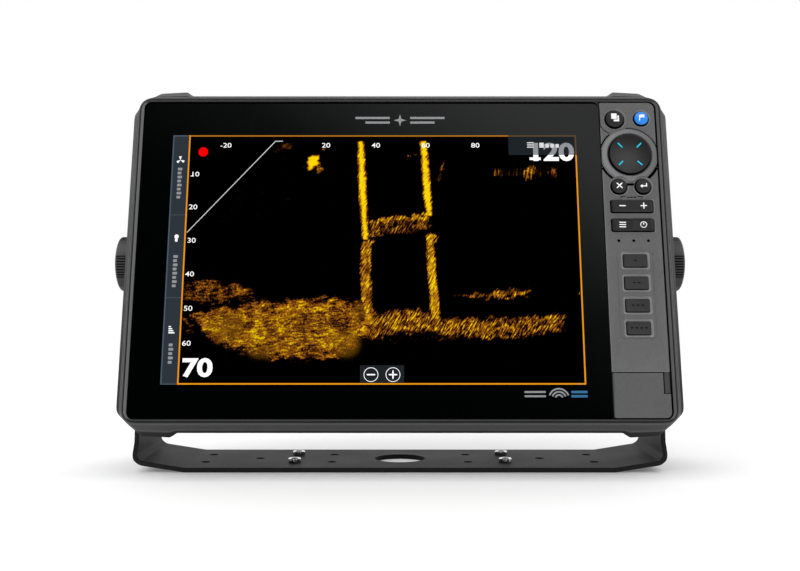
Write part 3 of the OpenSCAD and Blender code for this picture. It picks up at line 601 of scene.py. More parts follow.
def sonar_echo():
    """The sonar picture: streaks and grains of orange and yellow echo on black. The mesh carries the place on
    the picture (spot), where echoes are (echo), how upright their streaks are (lean), how solid they are
    (solid) and where they blur into a green-yellow glow (glow)."""
    g = Graph("sonar_echo")

    def carried(name, which="Fac"):
        return g.node("ShaderNodeAttribute", _attribute_name=name).outputs[which]

    def streaks(turn, across, along, scale, detail=4.0, rough=0.6, distortion=0.0):
        turned = g.node("ShaderNodeMapping", Vector=spot, Rotation=(0, 0, math.radians(-turn))).outputs[0]
        squeezed = g.node("ShaderNodeMapping", Vector=turned, Scale=(along, across, 1)).outputs[0]
        return g.noise(scale, detail, rough, squeezed, distortion)

    def from_half(value, amount):
        """What lies over or under 0.5, times an amount."""
        return g.times(g.math("SUBTRACT", value, 0.5), amount)

    def crossed(a, b, amount):
        """a where the amount is 0 and b where it is 1."""
        return g.add(g.times(a, g.math("SUBTRACT", 1.0, amount)), g.times(b, amount))

    spot = carried("spot", "Vector")
    echo, lean, solid, glow = (carried(name) for name in ("echo", "lean", "solid", "glow"))
    ripples = streaks(7, 1.0, 0.26, 0.72, 3.0, 0.55, 0.8)
    grains = g.noise(0.9, 2.0, 0.5, spot, 0.3)
    slanted = crossed(streaks(58, 1.0, 0.2, 1.15, 3.0, 0.55, 0.2),
                      streaks(82, 1.0, 0.14, 0.85, 2.0, 0.5, 0.15), g.span(lean, 1.0, 2.0))
    lean = g.span(lean, 0.0, 1.0)
    grain = crossed(g.add(g.times(ripples, 0.55), g.times(grains, 0.45)),
                    g.add(g.times(slanted, 0.8), g.times(grains, 0.2)), lean)
    patches = g.noise(0.12, 3.0, 0.6, spot, 0.8)
    coarse = from_half(grain, g.times(g.span(solid, 0.0, 1.0, 3.1, 0.5), g.span(lean, 0.0, 1.0, 1.0, 1.4)))
    power = g.add(g.add(echo, coarse), from_half(patches, g.span(solid, 0.0, 1.0, 1.9, 0.1)))
    power = g.times(g.times(power, g.span(echo, 0.05, 0.3)), g.span(solid, 0.0, 1.0, 0.76, 0.92))
    colour = g.ramp(power, [(0.08, 0), (0.22, (0.022, 0.006, 0)), (0.36, (0.115, 0.032, 0.005)),
                            (0.50, (0.27, 0.086, 0.005)), (0.66, (0.42, 0.165, 0.005)),
                            (0.80, (0.74, 0.42, 0.004)), (0.92, (1.0, 0.70, 0.001))])
    fuzz = g.ramp(g.add(g.times(glow, 0.85), from_half(grains, 0.5)), [
        (0.0, 0), (0.25, (0.022, 0.011, 0.001)), (0.6, (0.16, 0.066, 0.003)), (1.0, (0.40, 0.19, 0.004))])
    return shining(g, g.blend(g.times(g.span(glow, 0.0, 0.5), 0.5), colour, fuzz), 0.5)


# ---------- the materials used ----------

M = {
    "bezel": textured_plastic("bezel_plastic", 0.060, 0.5, painted_light=painted_bezel_light),
    "frame": textured_plastic("frame_plastic", 0.085, 0.5, painted_light=painted_frame_light),
    "panel": textured_plastic("panel_plastic", 0.104, 0.6, grain=0.16),
    "tab": textured_plastic("tab_plastic", 0.040, 0.6, lift_edges=1.0),
    "key_panel": textured_plastic("key_panel_plastic", 0.118, 0.6, grain=0.16, painted_light=painted_panel_light),
    "housing": textured_plastic("housing_plastic", 0.045, 0.6),
    "socket": textured_plastic("socket_plastic", 0.035, 0.45),
    "knob": knob_plastic(),
    # shade: the heights of the painted black shadow on the walls of the keys
    "key": key_plastic("key_plastic", 0.022, shade=(0.15, 0.75)),
    "quick": key_plastic("quick_key_plastic", 0.035, 0.5, shade=(-0.2, 0.45)),
    "pad": pad_plastic(),
    "blue": key_plastic("key_blue", 0.30, 0.38, tint=(0.09, 0.95, 3.1), shade=(0.2, 1.0)),
    "steel_plate": coated_steel("bracket_coat", 0.0185),
    "chrome": metal("screw_chrome", (0.86, 0.86, 0.88), 0.10, brushed=False),
    "steel": metal("bright_steel", (0.62, 0.62, 0.64), 0.28),
    "tin": metal("tin_plate", (0.60, 0.61, 0.63), 0.35),
    "alloy": metal("cast_alloy", (0.52, 0.53, 0.55), 0.5, brushed=False),
    "fins": metal("black_anodised", (0.05, 0.05, 0.055), 0.45),
    "brass": metal("turned_brass", (0.78, 0.57, 0.22), 0.25),
    "glass": black_glass(),
    "lens": key_plastic("lens_black", 0.012, 0.15),
    "rubber": rubber("black_rubber", 0.022),
    "gel": rubber("thermal_gel", 0.22, 0.6),
    # painted shade: black sheets that stand for the shade deep in the gaps
    "gap_shade_black": rubber("painted_gap_black", 0.002, 0.8, shine=0.0),
    "board": circuit_board(),
    "nylon": key_plastic("natural_nylon", 0.60, 0.4, tint=(1, 1, 0.95)),
    "light_box": key_plastic("light_box", 0.75, 0.4),
    "film": key_plastic("ribbon_film", 0.45, 0.35, tint=(1.3, 0.9, 0.35)),
    "ceramic": textured_plastic("ceramic", 0.5, 0.7, tint=(1.1, 1.0, 0.8)),
    "label": key_plastic("label_foil", 0.30, 0.3),
    "white_ink": print_ink("white_ink", (0.88, 0.88, 0.88), 0.25),
    "cyan_ink": print_ink("cyan_ink", (0.0, 0.45, 0.72), 0.35),
    "mark_ink": print_ink("mark_ink", (0.30, 0.31, 0.32)),
    "mark_blue": print_ink("mark_blue", (0.02, 0.16, 0.34)),
    "dark_ink": print_ink("dark_ink", (0.0015, 0.0015, 0.0015), shine=0.0),
    "screen": sonar_echo(),
}
LIT = {
    "sidebar": (0.028, 0.037, 0.047), "side_edge": (0.075, 0.105, 0.14), "orange": (0.88, 0.33, 0.010),
    "orange_dim": (0.44, 0.17, 0.010), "orange_veiled": (0.11, 0.07, 0.03), "white": (1.0, 1.0, 1.0),
    "white_dim": (0.30, 0.31, 0.33), "white_soft": (0.75, 0.76, 0.78), "line_grey": (0.72, 0.72, 0.72),
    "menu_box": (0.014, 0.018, 0.022), "red": (1.0, 0.0, 0.0),
}
M.update({name: lit(name, colour, 1.15 if name == "white" else 1.0) for name, colour in LIT.items()})

# CAD nodes that stay as they are, with the material each one takes
CAD_LOOKS = {
    "frame": ["front_frame"], "panel": ["card_door"], "housing": ["rear_housing"],
    "socket": ["card_bay", "power_socket", "sonar_sockets", "network_sockets"],
    "steel_plate": ["gimbal_bracket"], "glass": ["cover_glass"],
    "lens": ["status_lenses", "vent_plug", "lcd_cell"],
    "rubber": ["screen_gasket", "keypad_mat", "card_door_seal", "housing_gasket", "friction_discs"],
    "light_box": ["backlight_unit"], "alloy": ["chassis_plate", "heat_spreader"],
    "board": ["keypad_board", "main_board", "connector_board"],
    "tin": ["keypad_switches", "card_reader", "shield_can", "backup_battery"],
    "steel": ["nav_post", "nav_gimbal_ring", "card_door_pin", "rear_screws",
              "left_knob_stud", "right_knob_stud"],
    "fins": ["heat_sink"], "label": ["rating_plate"], "gel": ["thermal_pad"], "ceramic": ["gps_antenna"],
    "brass": ["board_standoffs", "knob_inserts"], "film": ["lcd_ribbon_cable", "keypad_ribbon_cable"],
    "nylon": ["left_knob_washer", "right_knob_washer"],
}
SOFT_EDGES = {"gimbal_bracket": 0.5, "card_door": 0.3, "front_frame": 0.2, "rear_housing": 0.6,
              "heat_sink": 0.25, "cover_glass": 0.25}


def soften(obj, width):
    """Rounds an object's edges without touching its mesh."""
    obj.modifiers.new("weld", "WELD").merge_threshold = 2e-6
    mod = obj.modifiers.new("soft_edges", "BEVEL")
    mod.width = width * MM
    mod.segments = 2
    mod.limit_method = "ANGLE"
    mod.angle_limit = math.radians(35)
    mod.harden_normals = False
    mod.miter_outer = "MITER_ARC"


def dress_cad_nodes():
    """Gives every CAD node that stays its material, and rounds the edges of those that show."""
    for key, names in CAD_LOOKS.items():
        for name in names:
            obj = frame["nodes"][name]
            obj.data.materials.clear()
            obj.data.materials.append(M[key])
            if name in SOFT_EDGES:
                soften(obj, SOFT_EDGES[name])


# ---------- front of the display ----------

# A quarter of three outlines of the outer bezel, from the middle of the right side to the middle of the top
LIP = [(169.8, 0), (169.8, 92), (169.8, 96), (169.8, 98.5), (169.2, 101.6), (167.5, 104.2), (164.9, 105.9),
       (161.8, 106.5)] + [(x, 106.5) for x in (156, 142.5, 140.4, 136.8, 134.5, 0)]
CREASE = [(172, 0), (172, 92), (172, 96), (171.9, 98.4), (170.9, 101.6), (167.4, 105.2), (163.6, 108.4),
          (160, 110), (154, 110.1), (142.5, 110.4), (140.4, 110.45), (136.6, 109.6), (134.5, 109.6),
          (0, 109.6)]
FLARE = [(174.6, 0), (174.6, 92), (174.6, 95.4), (174.2, 98), (172.6, 100.4), (168, 104.5), (163.3, 108.7),
         (158.6, 112.8), (154, 113.1), (142.5, 113.75), (140.4, 113.9), (136.8, 111.1), (134.5, 111.1),
         (0, 111.1)]


def wall_quarter(grow):
    """The rounded rectangle round the inner frame, in step with the three outlines above."""
    hx, hy, r = FRAME_HX + grow, FRAME_HY + grow, FRAME_R + grow
    return ([(hx, y) for y in (0, 92, 96)] + arc((hx - r, hy - r), r, 0, 90, 4)
            + [(x, hy) for x in (156, 142.5, 140.4, 136.8, 134.5, 0)])


def eased(quarter):
    """Rounds the corners of an open line by cutting them twice, keeping its two ends."""
    for _ in range(2):
        cut = [quarter[0]]
        for (ax, ay), (bx, by) in zip(quarter, quarter[1:]):
            k = min(0.25, 2.2 / max(1e-6, math.hypot(bx - ax, by - ay)))
            cut += [(ax + (bx - ax) * k, ay + (by - ay) * k), (bx - (bx - ax) * k, by - (by - ay) * k)]
        quarter = [cut[0]] + cut[2:-1] + [quarter[-1]]
    return quarter


def all_round(quarter):
    """The whole smooth outline from a quarter, anticlockwise."""
    quarter = eased(quarter)
    top = quarter + [(-x, y) for x, y in quarter[-2::-1]]
    return top + [(-x, -y) for x, y in top[1:-1]]


def bezel_shell():
    """The outer bezel: a rolled lip, a fine shadow line that is filled along the bottom, the flare behind it
    and the skirt."""
    lip, crease, flare = (all_round(q) for q in (LIP, CREASE, FLARE))
    wall, tight = (all_round(wall_quarter(k)) for k in (0.6, 0.05))
    skirt = [tuple(c - math.copysign(0.8, c) if abs(c) > 1 else c for c in p) for p in flare]
    front = [(wall, -4.0), (wall, -0.35), (between(wall, lip, 0.08), -0.12), (between(wall, lip, 0.25), -0.02),
             (lip, -0.02), (between(lip, crease, 0.08), -0.2), (between(lip, crease, 0.2), -0.72)]
    back = [(between(lip, crease, 0.96), -4.45), (crease, -4.72), (between(crease, flare, 0.1), -5.0),
            (between(crease, flare, 0.9), -7.1), (flare, -7.45), (flare, -7.8), (skirt, -9.4), (tight, -9.4),
            (tight, -4.0)]
    shadow_line = [lift(between(lip, crease, t), z) for t, z in ((0.38, -1.6), (0.32, -2.8), (0.70, -3.35))]
    level = [lift(between(lip, crease, t), z) for t, z in ((0.38, -1.45), (0.54, -2.35), (0.72, -3.3))]
    shadow_line = [[q if q[1] < -100 else p for p, q in zip(a, b)] for a, b in zip(shadow_line, level)]
    s = Shell()
    s.loft([lift(*r) for r in front] + shadow_line + [lift(*r) for r in back], closed=True)
    piece("bezel_shell", s, "display", "bezel", replaces=["front_bezel"], smooth=24)


def painted_gap_shade():
    """Black sheets that paint the shade at the bottom of the gaps beside the inner frame, in the bezel's shadow
    line and round the card door; and the black print along the edge of the glass."""
    for name, grows, drop, top, low in (("outer_gap_shade", (0.62, -0.02), 0.0, -0.75, -3.9),
                                        ("inner_gap_shade", (-1.72, -2.9), 0.7, -0.12, -2.35)):
        a, b = (centred((0, 0), FRAME_HX + k, FRAME_HY + k + drop, max(FRAME_R + k, 3), 10) for k in grows)
        s = Shell()
        s.loft([lift(b, low), lift(a, low), lift(a, top), lift(b, top)], closed=True)
        piece(name, s, "display", "gap_shade_black")
    lip, crease = all_round(LIP), all_round(CREASE)
    s = Shell()
    strip = ((0.39, -1.85), (0.33, -2.75), (0.69, -3.3))
    s.loft([lift(between(lip, crease, t), z) for t, z in strip], closed=True)
    s.v = [(x, y, z - 1.2) if y < -100 else (x, y, z) for x, y, z in s.v]
    piece("shadow_line_shade", s, "display", "gap_shade_black")
    s = Shell()
    for sides in ((130.2, -75.1, 165.4, -74.45), (161.55, -88.2, 161.85, -75.15),
                  (161.9, -88.2, 165.4, -87.9)):
        s.plate(box(*sides), -1.7, -0.85)
    piece("door_gap_shade", s, "display", "gap_shade_black")
    s = Shell()
    s.flat(rounded(-FACE_HX + 0.05, -FACE_HY + 0.05, 129.4, FACE_HY - 0.05, 4.4),
           [rounded(-FACE_HX + 0.9, -FACE_HY + 1.0, 129.2, FACE_HY - 1.3, 3.6)], 0.03)
    piece("glass_edge_print", s, "display", "dark_ink")


def panel_edge(inset):
    """Outline of the key panel, inset by some millimetres, with close points beside the cursor pad's ring;
    only its upper right corner is round."""
    x0, y0, x1, y1 = PANEL
    left, low, right, r = x0 + inset, y0 + inset, x1 - inset, 4.5
    beside = [PAD[1] + 0.5 * k for k in range(-20, 21)]
    return ([(left, y1 - inset)] + [(left, y) for y in reversed(beside)] + [(left, low), (right, low)]
            + [(right, y) for y in beside] + arc((x1 - r, y1 - r), r - inset, 0, 90, 9))


# The ring round the cursor pad: height over the panel by distance from the pad's middle
RING = [(14.1, 0.9), (14.4, 1.4), (14.9, 1.6), (15.5, 1.5), (16.3, 1.15), (17.1, 0.75), (17.8, 0.36),
        (18.25, 0.0)]
# Depth of the recesses round the keys by distance from their rim
ROUND_RECESS = [(0.0, 2.0), (0.1, -0.1), (1.05, -0.86), (1.2, -1.3), (9.0, -1.35)]
BAR_RECESS = [(0.0, 2.0), (0.08, -0.08), (0.7, -0.75), (9.0, -0.8)]


def panel_grooves():
    """Lines of the grooves on the key panel, with their widths and depths."""
    lines = [(arc(PAD, r, a, b, max(4, int(abs(b - a) / 2))), width, 1.7) for r, a, b, width in (
        (18.8, 94, 16, 0.95), (18.8, -16, -25, 0.95), (19.1, -25, -53, 2.0), (18.85, 129.3, 163, 1.0),
        (18.8, 197, 205, 0.95), (19.1, 205, 234, 2.0), (19.6, -96, -84, 2.0))]
    lines.append((arc(PAGES, 10.4, 204, 249.5, 24), 0.9, 1.7))
    round_quick_keys = ([(136.7, 1.0), (136.7, -51.0)] + arc((139.3, -51.0), 2.6, 180, 270, 8)[1:]
                        + arc((156.4, -51.0), 2.6, 270, 360, 8) + [(159.0, 1.0)])
    return lines + [(round_quick_keys, 0.5, 0.7)]


def panel_height(x, y, grooves):
    """Height of the key panel's surface."""
    d = math.dist((x, y), PAD)
    z = stepped([(0, 0.0)] + RING, d) if d < RING[-1][0] else 0.0
    insets = [(rim - math.dist((x, y), at), ROUND_RECESS) for _, at, _, _, rim, _ in ROUND_KEYS]
    insets += [(box_inset(x, y, *recess), BAR_RECESS) for recess in BAR_RECESSES]
    for inset, recess in insets:
        if inset > -1e-4:
            z = min(z, stepped(recess, inset))
    for line, width, depth in grooves:
        near, past = line_distance(x, y, line)
        if not past and near < width / 2:
            z = min(z, -depth * min(1.0, (width / 2 - near) / 0.12))
    return z - 0.3 * (1 - min(1.0, max(0.0, edge_distance(x, y, panel_edge(0.0))) / 0.3))


def key_panel():
    """The panel round the keys, with recesses, the cursor pad's raised ring and grooves; and the finger tab."""
    grooves = panel_grooves()
    holes = [circle(at, r + KEY_GAP) for _, at, r, _, _, _ in ROUND_KEYS]
    holes += [centred(at, BAR_HX + KEY_GAP, BAR_HY + KEY_GAP, 0.9 + KEY_GAP) for at in (ZOOM, MENU)]
    holes += [centred(at, QUICK_HX + KEY_GAP, BAR_HY + KEY_GAP, 0.9 + KEY_GAP) for at in QUICK]
    holes += [circle(at, 0.62, 20) for at in LENSES] + [circle(PAD, 13.9, 96)]
    contours = [panel_edge(0.3)] + [circle(at, 0.85, 20) for at in LENSES]
    contours += [circle(PAD, r, 120) for r, _ in RING]
    contours += [circle(at, rim - inset) for _, at, _, _, rim, _ in ROUND_KEYS
                 for inset in (0.0, 0.1, 0.55, 1.05, 1.2)]
    contours += [centred(at, hx - inset, hy - inset, r - inset) for at, hx, hy, r in BAR_RECESSES
                 for inset in (0.0, 0.08, 0.4, 0.68)]
    contours += [along(line, width / 2 - inset, inset) for line, width, _ in grooves for inset in (0.0, 0.12)]
    panel, tab = Shell(), Shell()
    tab.loft([lift(rounded(161.95 + i, -87.8 + i, 165.5 - i, -74.6, 0.7), z)
              for i, z in ((0, -2.4), (0, -0.75), (0.25, -0.5))])
    piece("finger_tab", tab, "display", "tab")
    panel.terraced(panel_edge(0.0), holes, contours, -2.4, lambda x, y: panel_height(x, y, grooves))
    piece("key_panel", panel, "display", "key_panel", replaces=["keypad_fascia"], smooth=28)


def panel_print():
    """Dark print on the panel: brackets and three dashes over the zoom bar, and the small dark lenses."""
    s, x = Shell(), ZOOM[0]
    for side in (-1, 1):
        for a, b in (((6.7, 37.35), (6.7, 38.55)), ((6.95, 38.75), (3.9, 38.75))):
            s.plate(along([(x + side * a[0], a[1]), (x + side * b[0], b[1])], 0.25), 0.05, 0.07)
    for k in (-1, 0, 1):
        s.plate(centred((x + 2.1 * k, 38.2), 0.75, 0.42, 0.2, 3), 0.05, 0.07)
    for at in LENSES:
        s.flat(circle(at, 0.95, 24), z=0.05)
    piece("panel_print", s, "display", "dark_ink")


# ---------- keys ----------

def round_cap(name, at, r, proud, look):
    """A round key with a rolled edge and a gently domed top, its flange and its plunger."""
    crown, roll, node = 0.35, 0.8, f"{name}_button"
    low, plunger, flange = proud - crown, r - 2.6, r + 0.8
    profile = [(0, -5.2), (plunger, -5.2), (plunger, -4.0), (flange, -4.0), (flange, -2.7), (r, -2.7),
               (r, -0.5)]
    r -= 0.3
    rim = r - roll
    profile += [(r, low - roll)] + arc((rim, low - roll), roll, 15, 75, 4)
    profile += [(rim * k, low + crown * (1 - k * k)) for k in (1.0, 0.85, 0.7, 0.5, 0.3, 0.15)]
    piece(f"{name}_cap", lathe(at, profile + [(0, proud)], 80), node, look, replaces=[node])


def bar_key(name, at, hx, height, node, look, feet, low=-3.2):
    """A wide key whose top follows height(x) along it, with rolled edges all round."""
    s, hy, r = Shell(), BAR_HY, 0.95
    rings = [lift(centred(at, hx, hy, r, 6), low)]
    for inset, drop in ((0.0, -1.1), (0.2, -0.5), (0.27, -0.3), (0.38, -0.13), (0.53, -0.03), (0.7, 0.0)):
        ring = centred(at, hx - inset, hy - inset, r - inset, 6)
        rings.append([(x, y, height(x - at[0]) + drop) for x, y in ring])
    s.f.append(tuple(s.chain(rings)[0]))
    steps = int(hx * 5)
    loose = [(at[0] + (hx - 0.7) * (2 * i / steps - 1), at[1] + j * (hy - 0.75))
             for i in range(1, steps) for j in (-0.9, -0.3, 0.3, 0.9)]
    verts, faces = filled(ring, loose=loose)
    s.put([(v.x, v.y, height(v.x - at[0])) for v in verts], faces)
    for x, foot_r in feet:
        profile = [(0, -5.2), (foot_r, -5.2), (foot_r, low - 0.02), (0, low - 0.02)]
        s.add(lathe((at[0] + x, at[1]), profile, 24))
    piece(name, s, node, look, replaces=[node], smooth=16)


def zoom_height(x):
    """The zoom bar: one shallow dish, with a facet sloping off at each end."""
    return 1.5 - 0.5 * max(0.0, 1 - (x / 11.3) ** 2) - 0.5 * max(0.0, abs(x) - 11.3)


def menu_height(x):
    """The menu and power bar: two dishes that meet in a sharp crease."""
    return 1.5 - 0.8 * max(0.0, 1 - ((abs(x) - 5.65) / 5.65) ** 2) - 0.42 * max(0.0, abs(x) - 11.3)


def quick_height(x):
    """A quick key: one faint dish, with a facet sloping off at each end."""
    return 0.95 - 0.12 * max(0.0, 1 - (x / 6.6) ** 2) - 0.22 * max(0.0, abs(x) - 6.6)


def keys():
    """The four round keys, the two rocking bars and the four quick keys."""
    for name, at, r, proud, _, look in ROUND_KEYS:
        round_cap(name, at, r, proud, look)
    feet = [(-8, 1.6), (8, 1.6)]
    bar_key("zoom_cap", ZOOM, BAR_HX, zoom_height, "zoom_rocker", "key", feet)
    bar_key("menu_power_cap", MENU, BAR_HX, menu_height, "menu_power_rocker", "key", feet)
    for i, at in enumerate(QUICK, 1):
        bar_key(f"quick_cap_{i}", at, QUICK_HX, quick_height, f"quick_key_{i}", "quick", [(0, 2.0)], low=-4.0)


def mark(name, at, outlines, node, top, ink="white_ink"):
    """A printed mark: thin shapes round the place, lying just over the key's top, whose height is top(x, y)."""
    s = Shell()
    for outline in outlines:
        fine = []
        for (ax, ay), (bx, by) in pairs(outline):
            n = max(1, int(abs(bx - ax) / 0.5 + 1e-9))
            fine += [(ax + (bx - ax) * i / n, ay + (by - ay) * i / n) for i in range(n)]
        s.flat(fine)
    s.v = [(x + at[0], y + at[1], top(x, y) + 0.05) for x, y, _ in s.v]
    piece(name, s, node, ink, smooth=20)


def key_marks():
    """The white signs on the keys, and the dark dashes that count the quick keys."""
    cross, quarter = [], [(-2.0, -1.5), (-1.5, -2.0), (0, -0.55)]
    for _ in range(4):
        cross += quarter
        quarter = [(-y, x) for x, y in quarter]
    signs = {
        "pages": [box(-2.5, -0.7, 1.0, 3.1),
                  [(-1.0, -1.15), (-1.0, -2.4), (2.5, -2.4), (2.5, 1.7), (1.45, 1.7), (1.45, -1.15)]],
        "waypoint": [[(-1.6, -2.0), (-1.05, -2.0), (-1.05, -0.1), (0.3, 0.25), (2.1, 0.0), (1.7, 1.0),
                      (2.1, 2.1), (0.3, 2.3), (-1.6, 1.95)]],
        "exit": [cross],
        "enter": [[(-2.3, -0.4), (-0.8, 0.95), (-0.8, 0.0), (1.45, 0.0), (1.45, 1.5), (2.15, 1.5),
                   (2.15, -0.75), (-0.8, -0.75), (-0.8, -1.7)]],
    }
    for name, at, r, proud, _, _ in ROUND_KEYS:
        def dome(x, y):
            return proud - 0.35 * min(1.0, (x ** 2 + y ** 2) / (r - 0.8) ** 2) + 0.02
        mark(f"{name}_mark", at, signs[name], f"{name}_button", dome)
    plus = [(5.2, -0.32), (6.9, -0.32), (6.9, -2.0), (7.6, -2.0), (7.6, -0.32), (9.3, -0.32), (9.3, 0.36),
            (7.6, 0.36), (7.6, 2.05), (6.9, 2.05), (6.9, 0.36), (5.2, 0.36)]
    for name, sign in (("zoom_out", box(-8.3, -0.32, -4.3, 0.36)), ("zoom_in", plus)):
        mark(f"{name}_mark", ZOOM, [sign], "zoom_rocker", lambda x, y: zoom_height(x))
    lines = [box(-8.8, k - 0.32, -4.6, k + 0.32) for k in (-1.5, 0.0, 1.5)]
    mark("menu_mark", MENU, lines, "menu_power_rocker", lambda x, y: menu_height(x))
    s, at = Shell(), (MENU[0] + 6.6, MENU[1])
    s.flat(circle(at, 2.1, 40), [circle(at, 1.62, 40)])
    s.flat(box(at[0] - 0.3, at[1] - 0.1, at[0] + 0.3, at[1] + 1.2))
    s.v = [(x, y, menu_height(x - MENU[0]) + 0.05) for x, y, _ in s.v]
    piece("power_mark", s, "menu_power_rocker", "white_ink")
    for i, at in enumerate(QUICK):
        dashes = [centred((3.0 * (k - i / 2), 0), 0.8, 0.36, 0.25, 3) for k in range(i + 1)]
        mark(f"quick_mark_{i + 1}", at, dashes, f"quick_key_{i + 1}", lambda x, y: quick_height(x), "dark_ink")


def cursor_pad():
    """The round pad: a rolled rim and a hollow face, with four lit marks on its diagonals."""
    def face(r):
        return 1.72 + 1.13 * (r / 12.5) ** 2

    profile = [(8.0, 0.2), (8.0, -4.7), (14.4, -4.7), (14.4, -3.7), (13.5, -3.7), (13.5, 1.9), (13.45, 2.3),
               (13.3, 2.62), (13.05, 2.84), (12.75, 2.9), (12.5, 2.86)]
    profile += [(1.23 * k, face(1.23 * k)) for k in range(10, -1, -1)]
    cap = lathe(PAD, profile, 120)
    piece("cursor_pad_cap", cap, "cursor_pad", "pad", replaces=["cursor_pad"])
    bars = [along([polar((0, 0), r, a) for r in (6.6, 10.6)], 0.42) for a in (45, 135, 225, 315)]
    mark("cursor_pad_marks", PAD, bars, "cursor_pad", lambda x, y: face(math.hypot(x, y)), "cyan_ink")


# ---------- the lit picture ----------

# Standing poles on the picture: (y, middle x, half width) down each one, then how strong and how solid it is
POLES = [
    ([(76.0, -25.5, 1.75), (46.5, -24.0, 2.2), (24.0, -22.8, 1.7), (9.6, -21.7, 1.4)], 1.0, 1.0),
    ([(9.4, -21.3, 2.8), (-8.8, -21.6, 3.2), (-39.0, -20.0, 2.7)], 0.60, 0.45),
    ([(76.0, 15.0, 1.85), (46.5, 16.9, 2.2), (25.5, 18.6, 1.85)], 1.0, 1.0),
    ([(12.5, 18.8, 2.1), (-8.8, 19.8, 2.2), (-41.0, 22.4, 2.5)], 0.82, 0.55),
]
# Patches of echo: outline, strength, lean of the streaks, softness of the edge
PATCHES = [
    ([(-131, -37.5), (-121, -37.2), (-112, -34), (-98, -32.5), (-89, -29.7), (-80, -30), (-61.5, -28.2),
      (-48, -26.9), (-34.8, -27.4), (-24, -31), (-14, -38), (-10, -54), (-23, -55), (-26.4, -60), (-38.7, -66),
      (-56, -67), (-79, -67.5), (-91, -65.5), (-109, -59.5), (-119, -54), (-124.8, -46)], 0.66, 0.0, 5.0),
    ([(-136, -15.5), (-120, -14.5), (-109, -19), (-104.7, -16.5), (-93.7, -22.3), (-88, -29), (-96, -31),
      (-108, -32), (-114, -35), (-124, -32.5), (-136, -29)], 0.40, 0.0, 5.0),
    ([(-136, -39), (-130, -41), (-127.5, -51), (-136, -47)], 0.36, 0.0, 2.5),
    ([(-19, -40), (-14, -38.5), (-6.2, -35.6), (6.2, -34.8), (18.7, -36.2), (26.9, -41), (45.5, -40.4),
      (66.2, -40), (96.3, -38), (104.5, -39.5), (102.5, -48), (76.2, -53.6), (55.6, -54.6), (40.2, -53.6),
      (24.7, -50.4), (4.1, -50.4), (-6.2, -51.5), (-21, -54)], 0.58, 1.0, 4.5),
    ([(-22, -52), (30, -49), (64, -54), (42, -56.5), (10, -57), (-20, -57)], 0.16, 1.0, 4.0),
    ([(-20.6, 22.8), (-10, 24.2), (8.5, 26.3), (17, 26), (21, 21), (18, 15.3), (-3.2, 13.0), (-20.5, 10.9)],
     0.30, 1.0, 1.4),
    ([(-20.6, 22.8), (-10, 24.2), (8.5, 26.4), (17, 26.2), (17, 22.6), (8.5, 23), (-10, 21.2), (-20.6, 20)],
     0.68, 1.0, 1.0),
    ([(-20.6, 22.0), (-10, 23.6), (8.5, 25.8), (17, 25.5), (19, 20), (6, 22.5), (-10, 21), (-14, 15),
      (-20.6, 14)], 0.50, 1.0, 1.6),
    ([(-24.2, 8.6), (-24.2, 9.6), (-15.6, 9.9), (-15.8, 9.0)], 0.95, 1.0, 0.8),
    ([(-21, 10.5), (-21, 22.5), (-12, 23.0), (-9, 12.0)], 0.46, 1.0, 1.4),
    ([(17, 7), (17, 15), (24, 14), (24.5, 11.5), (21, 8)], 0.62, 1.0, 1.6),
    ([(33, -26.5), (40, -26), (52, -25.5), (58, -22.8), (70, -21.8), (82, -22), (80, -26), (66, -27.6),
      (52, -28.2)], 0.62, 1.4, 1.6),
    ([(80, 49), (80.5, 59), (84, 62), (87, 58), (86.5, 49)], 0.62, 2.0, 1.2),
    ([(58, 51.5), (58, 57.5), (102, 58.5), (102, 51.5)], 0.22, 2.0, 1.8),
    ([(-61.8, 56.7), (-60.8, 55.4), (-58, 56), (-56.5, 57.8), (-53.6, 57.6), (-51.6, 60.5), (-51.4, 64.5),
      (-54, 66.8), (-57.5, 66.2)], 1.0, 0.0, 1.0),
    ([(-53, 57), (-51.5, 60.5), (-48, 57.6), (-51.5, 54.2)], 0.50, 0.0, 1.4),
    ([(-50.2, 69.6), (-50.4, 71.4), (-48.4, 72.8), (-47.9, 71.0)], 0.85, 0.0, 1.0),
    ([(-84, 68.5), (-77.5, 75.8), (-67, 76), (-70, 71), (-78, 68)], 0.30, 0.0, 4.0),
    ([(4.0, 61.5), (4.6, 66.5), (5.8, 66.5), (5.4, 61.5)], 0.66, 2.0, 0.9),
    ([(8.8, 62.5), (9.8, 68), (11.6, 68), (11.2, 62.5)], 0.42, 2.0, 1.2),
    ([(23.8, 47), (24.6, 56), (28.6, 65.5), (29.4, 64.8), (27.2, 53)], 0.46, 1.6, 1.4),
    ([(108, -25.5), (112, -26), (112.6, -22), (110, -23.2)], 0.52, 1.0, 1.2),
]
# Soft blurred ellipses over the sea bed: middle, half sizes, strength
GLOWS = [((-107, -47), (15, 12), 0.75), ((-85, -62), (13, 7), 0.6), ((-33, -57), (12, 12), 0.8),
         ((-25.5, -37), (5, 9), 0.55), ((-66, -49), (50, 18), 0.22)]


def patch_echo(x, y):
    """Echo strength, lean of the streaks and solidness from the patches. They are looked up a little to the
    side, which makes their edges ragged."""
    echo = lean = solid = 0.0
    stray = (noise.noise_vector(Vector((x * 0.22, y * 0.34, 0.0))) * 2.6
             + noise.noise_vector(Vector((x * 0.7, y * 0.9, 5.0))) * 1.3)
    x, y = x + stray.x, y + stray.y
    for outline, power, slant, soft in PATCHES:
        near = all(min(side) - soft < at < max(side) + soft for at, side in zip((x, y), zip(*outline)))
        e = power * smooth(-soft * 0.6, soft, edge_distance(x, y, outline)) if near else 0.0
        if e > echo:
            echo, lean, solid = e, slant, smooth(0.95, 1.0, power)
    if -24 < x < -8 and -56 < y < -28 and lean < 1:
        lean = max(lean, smooth(-24, -14, x))
    return echo, lean, solid


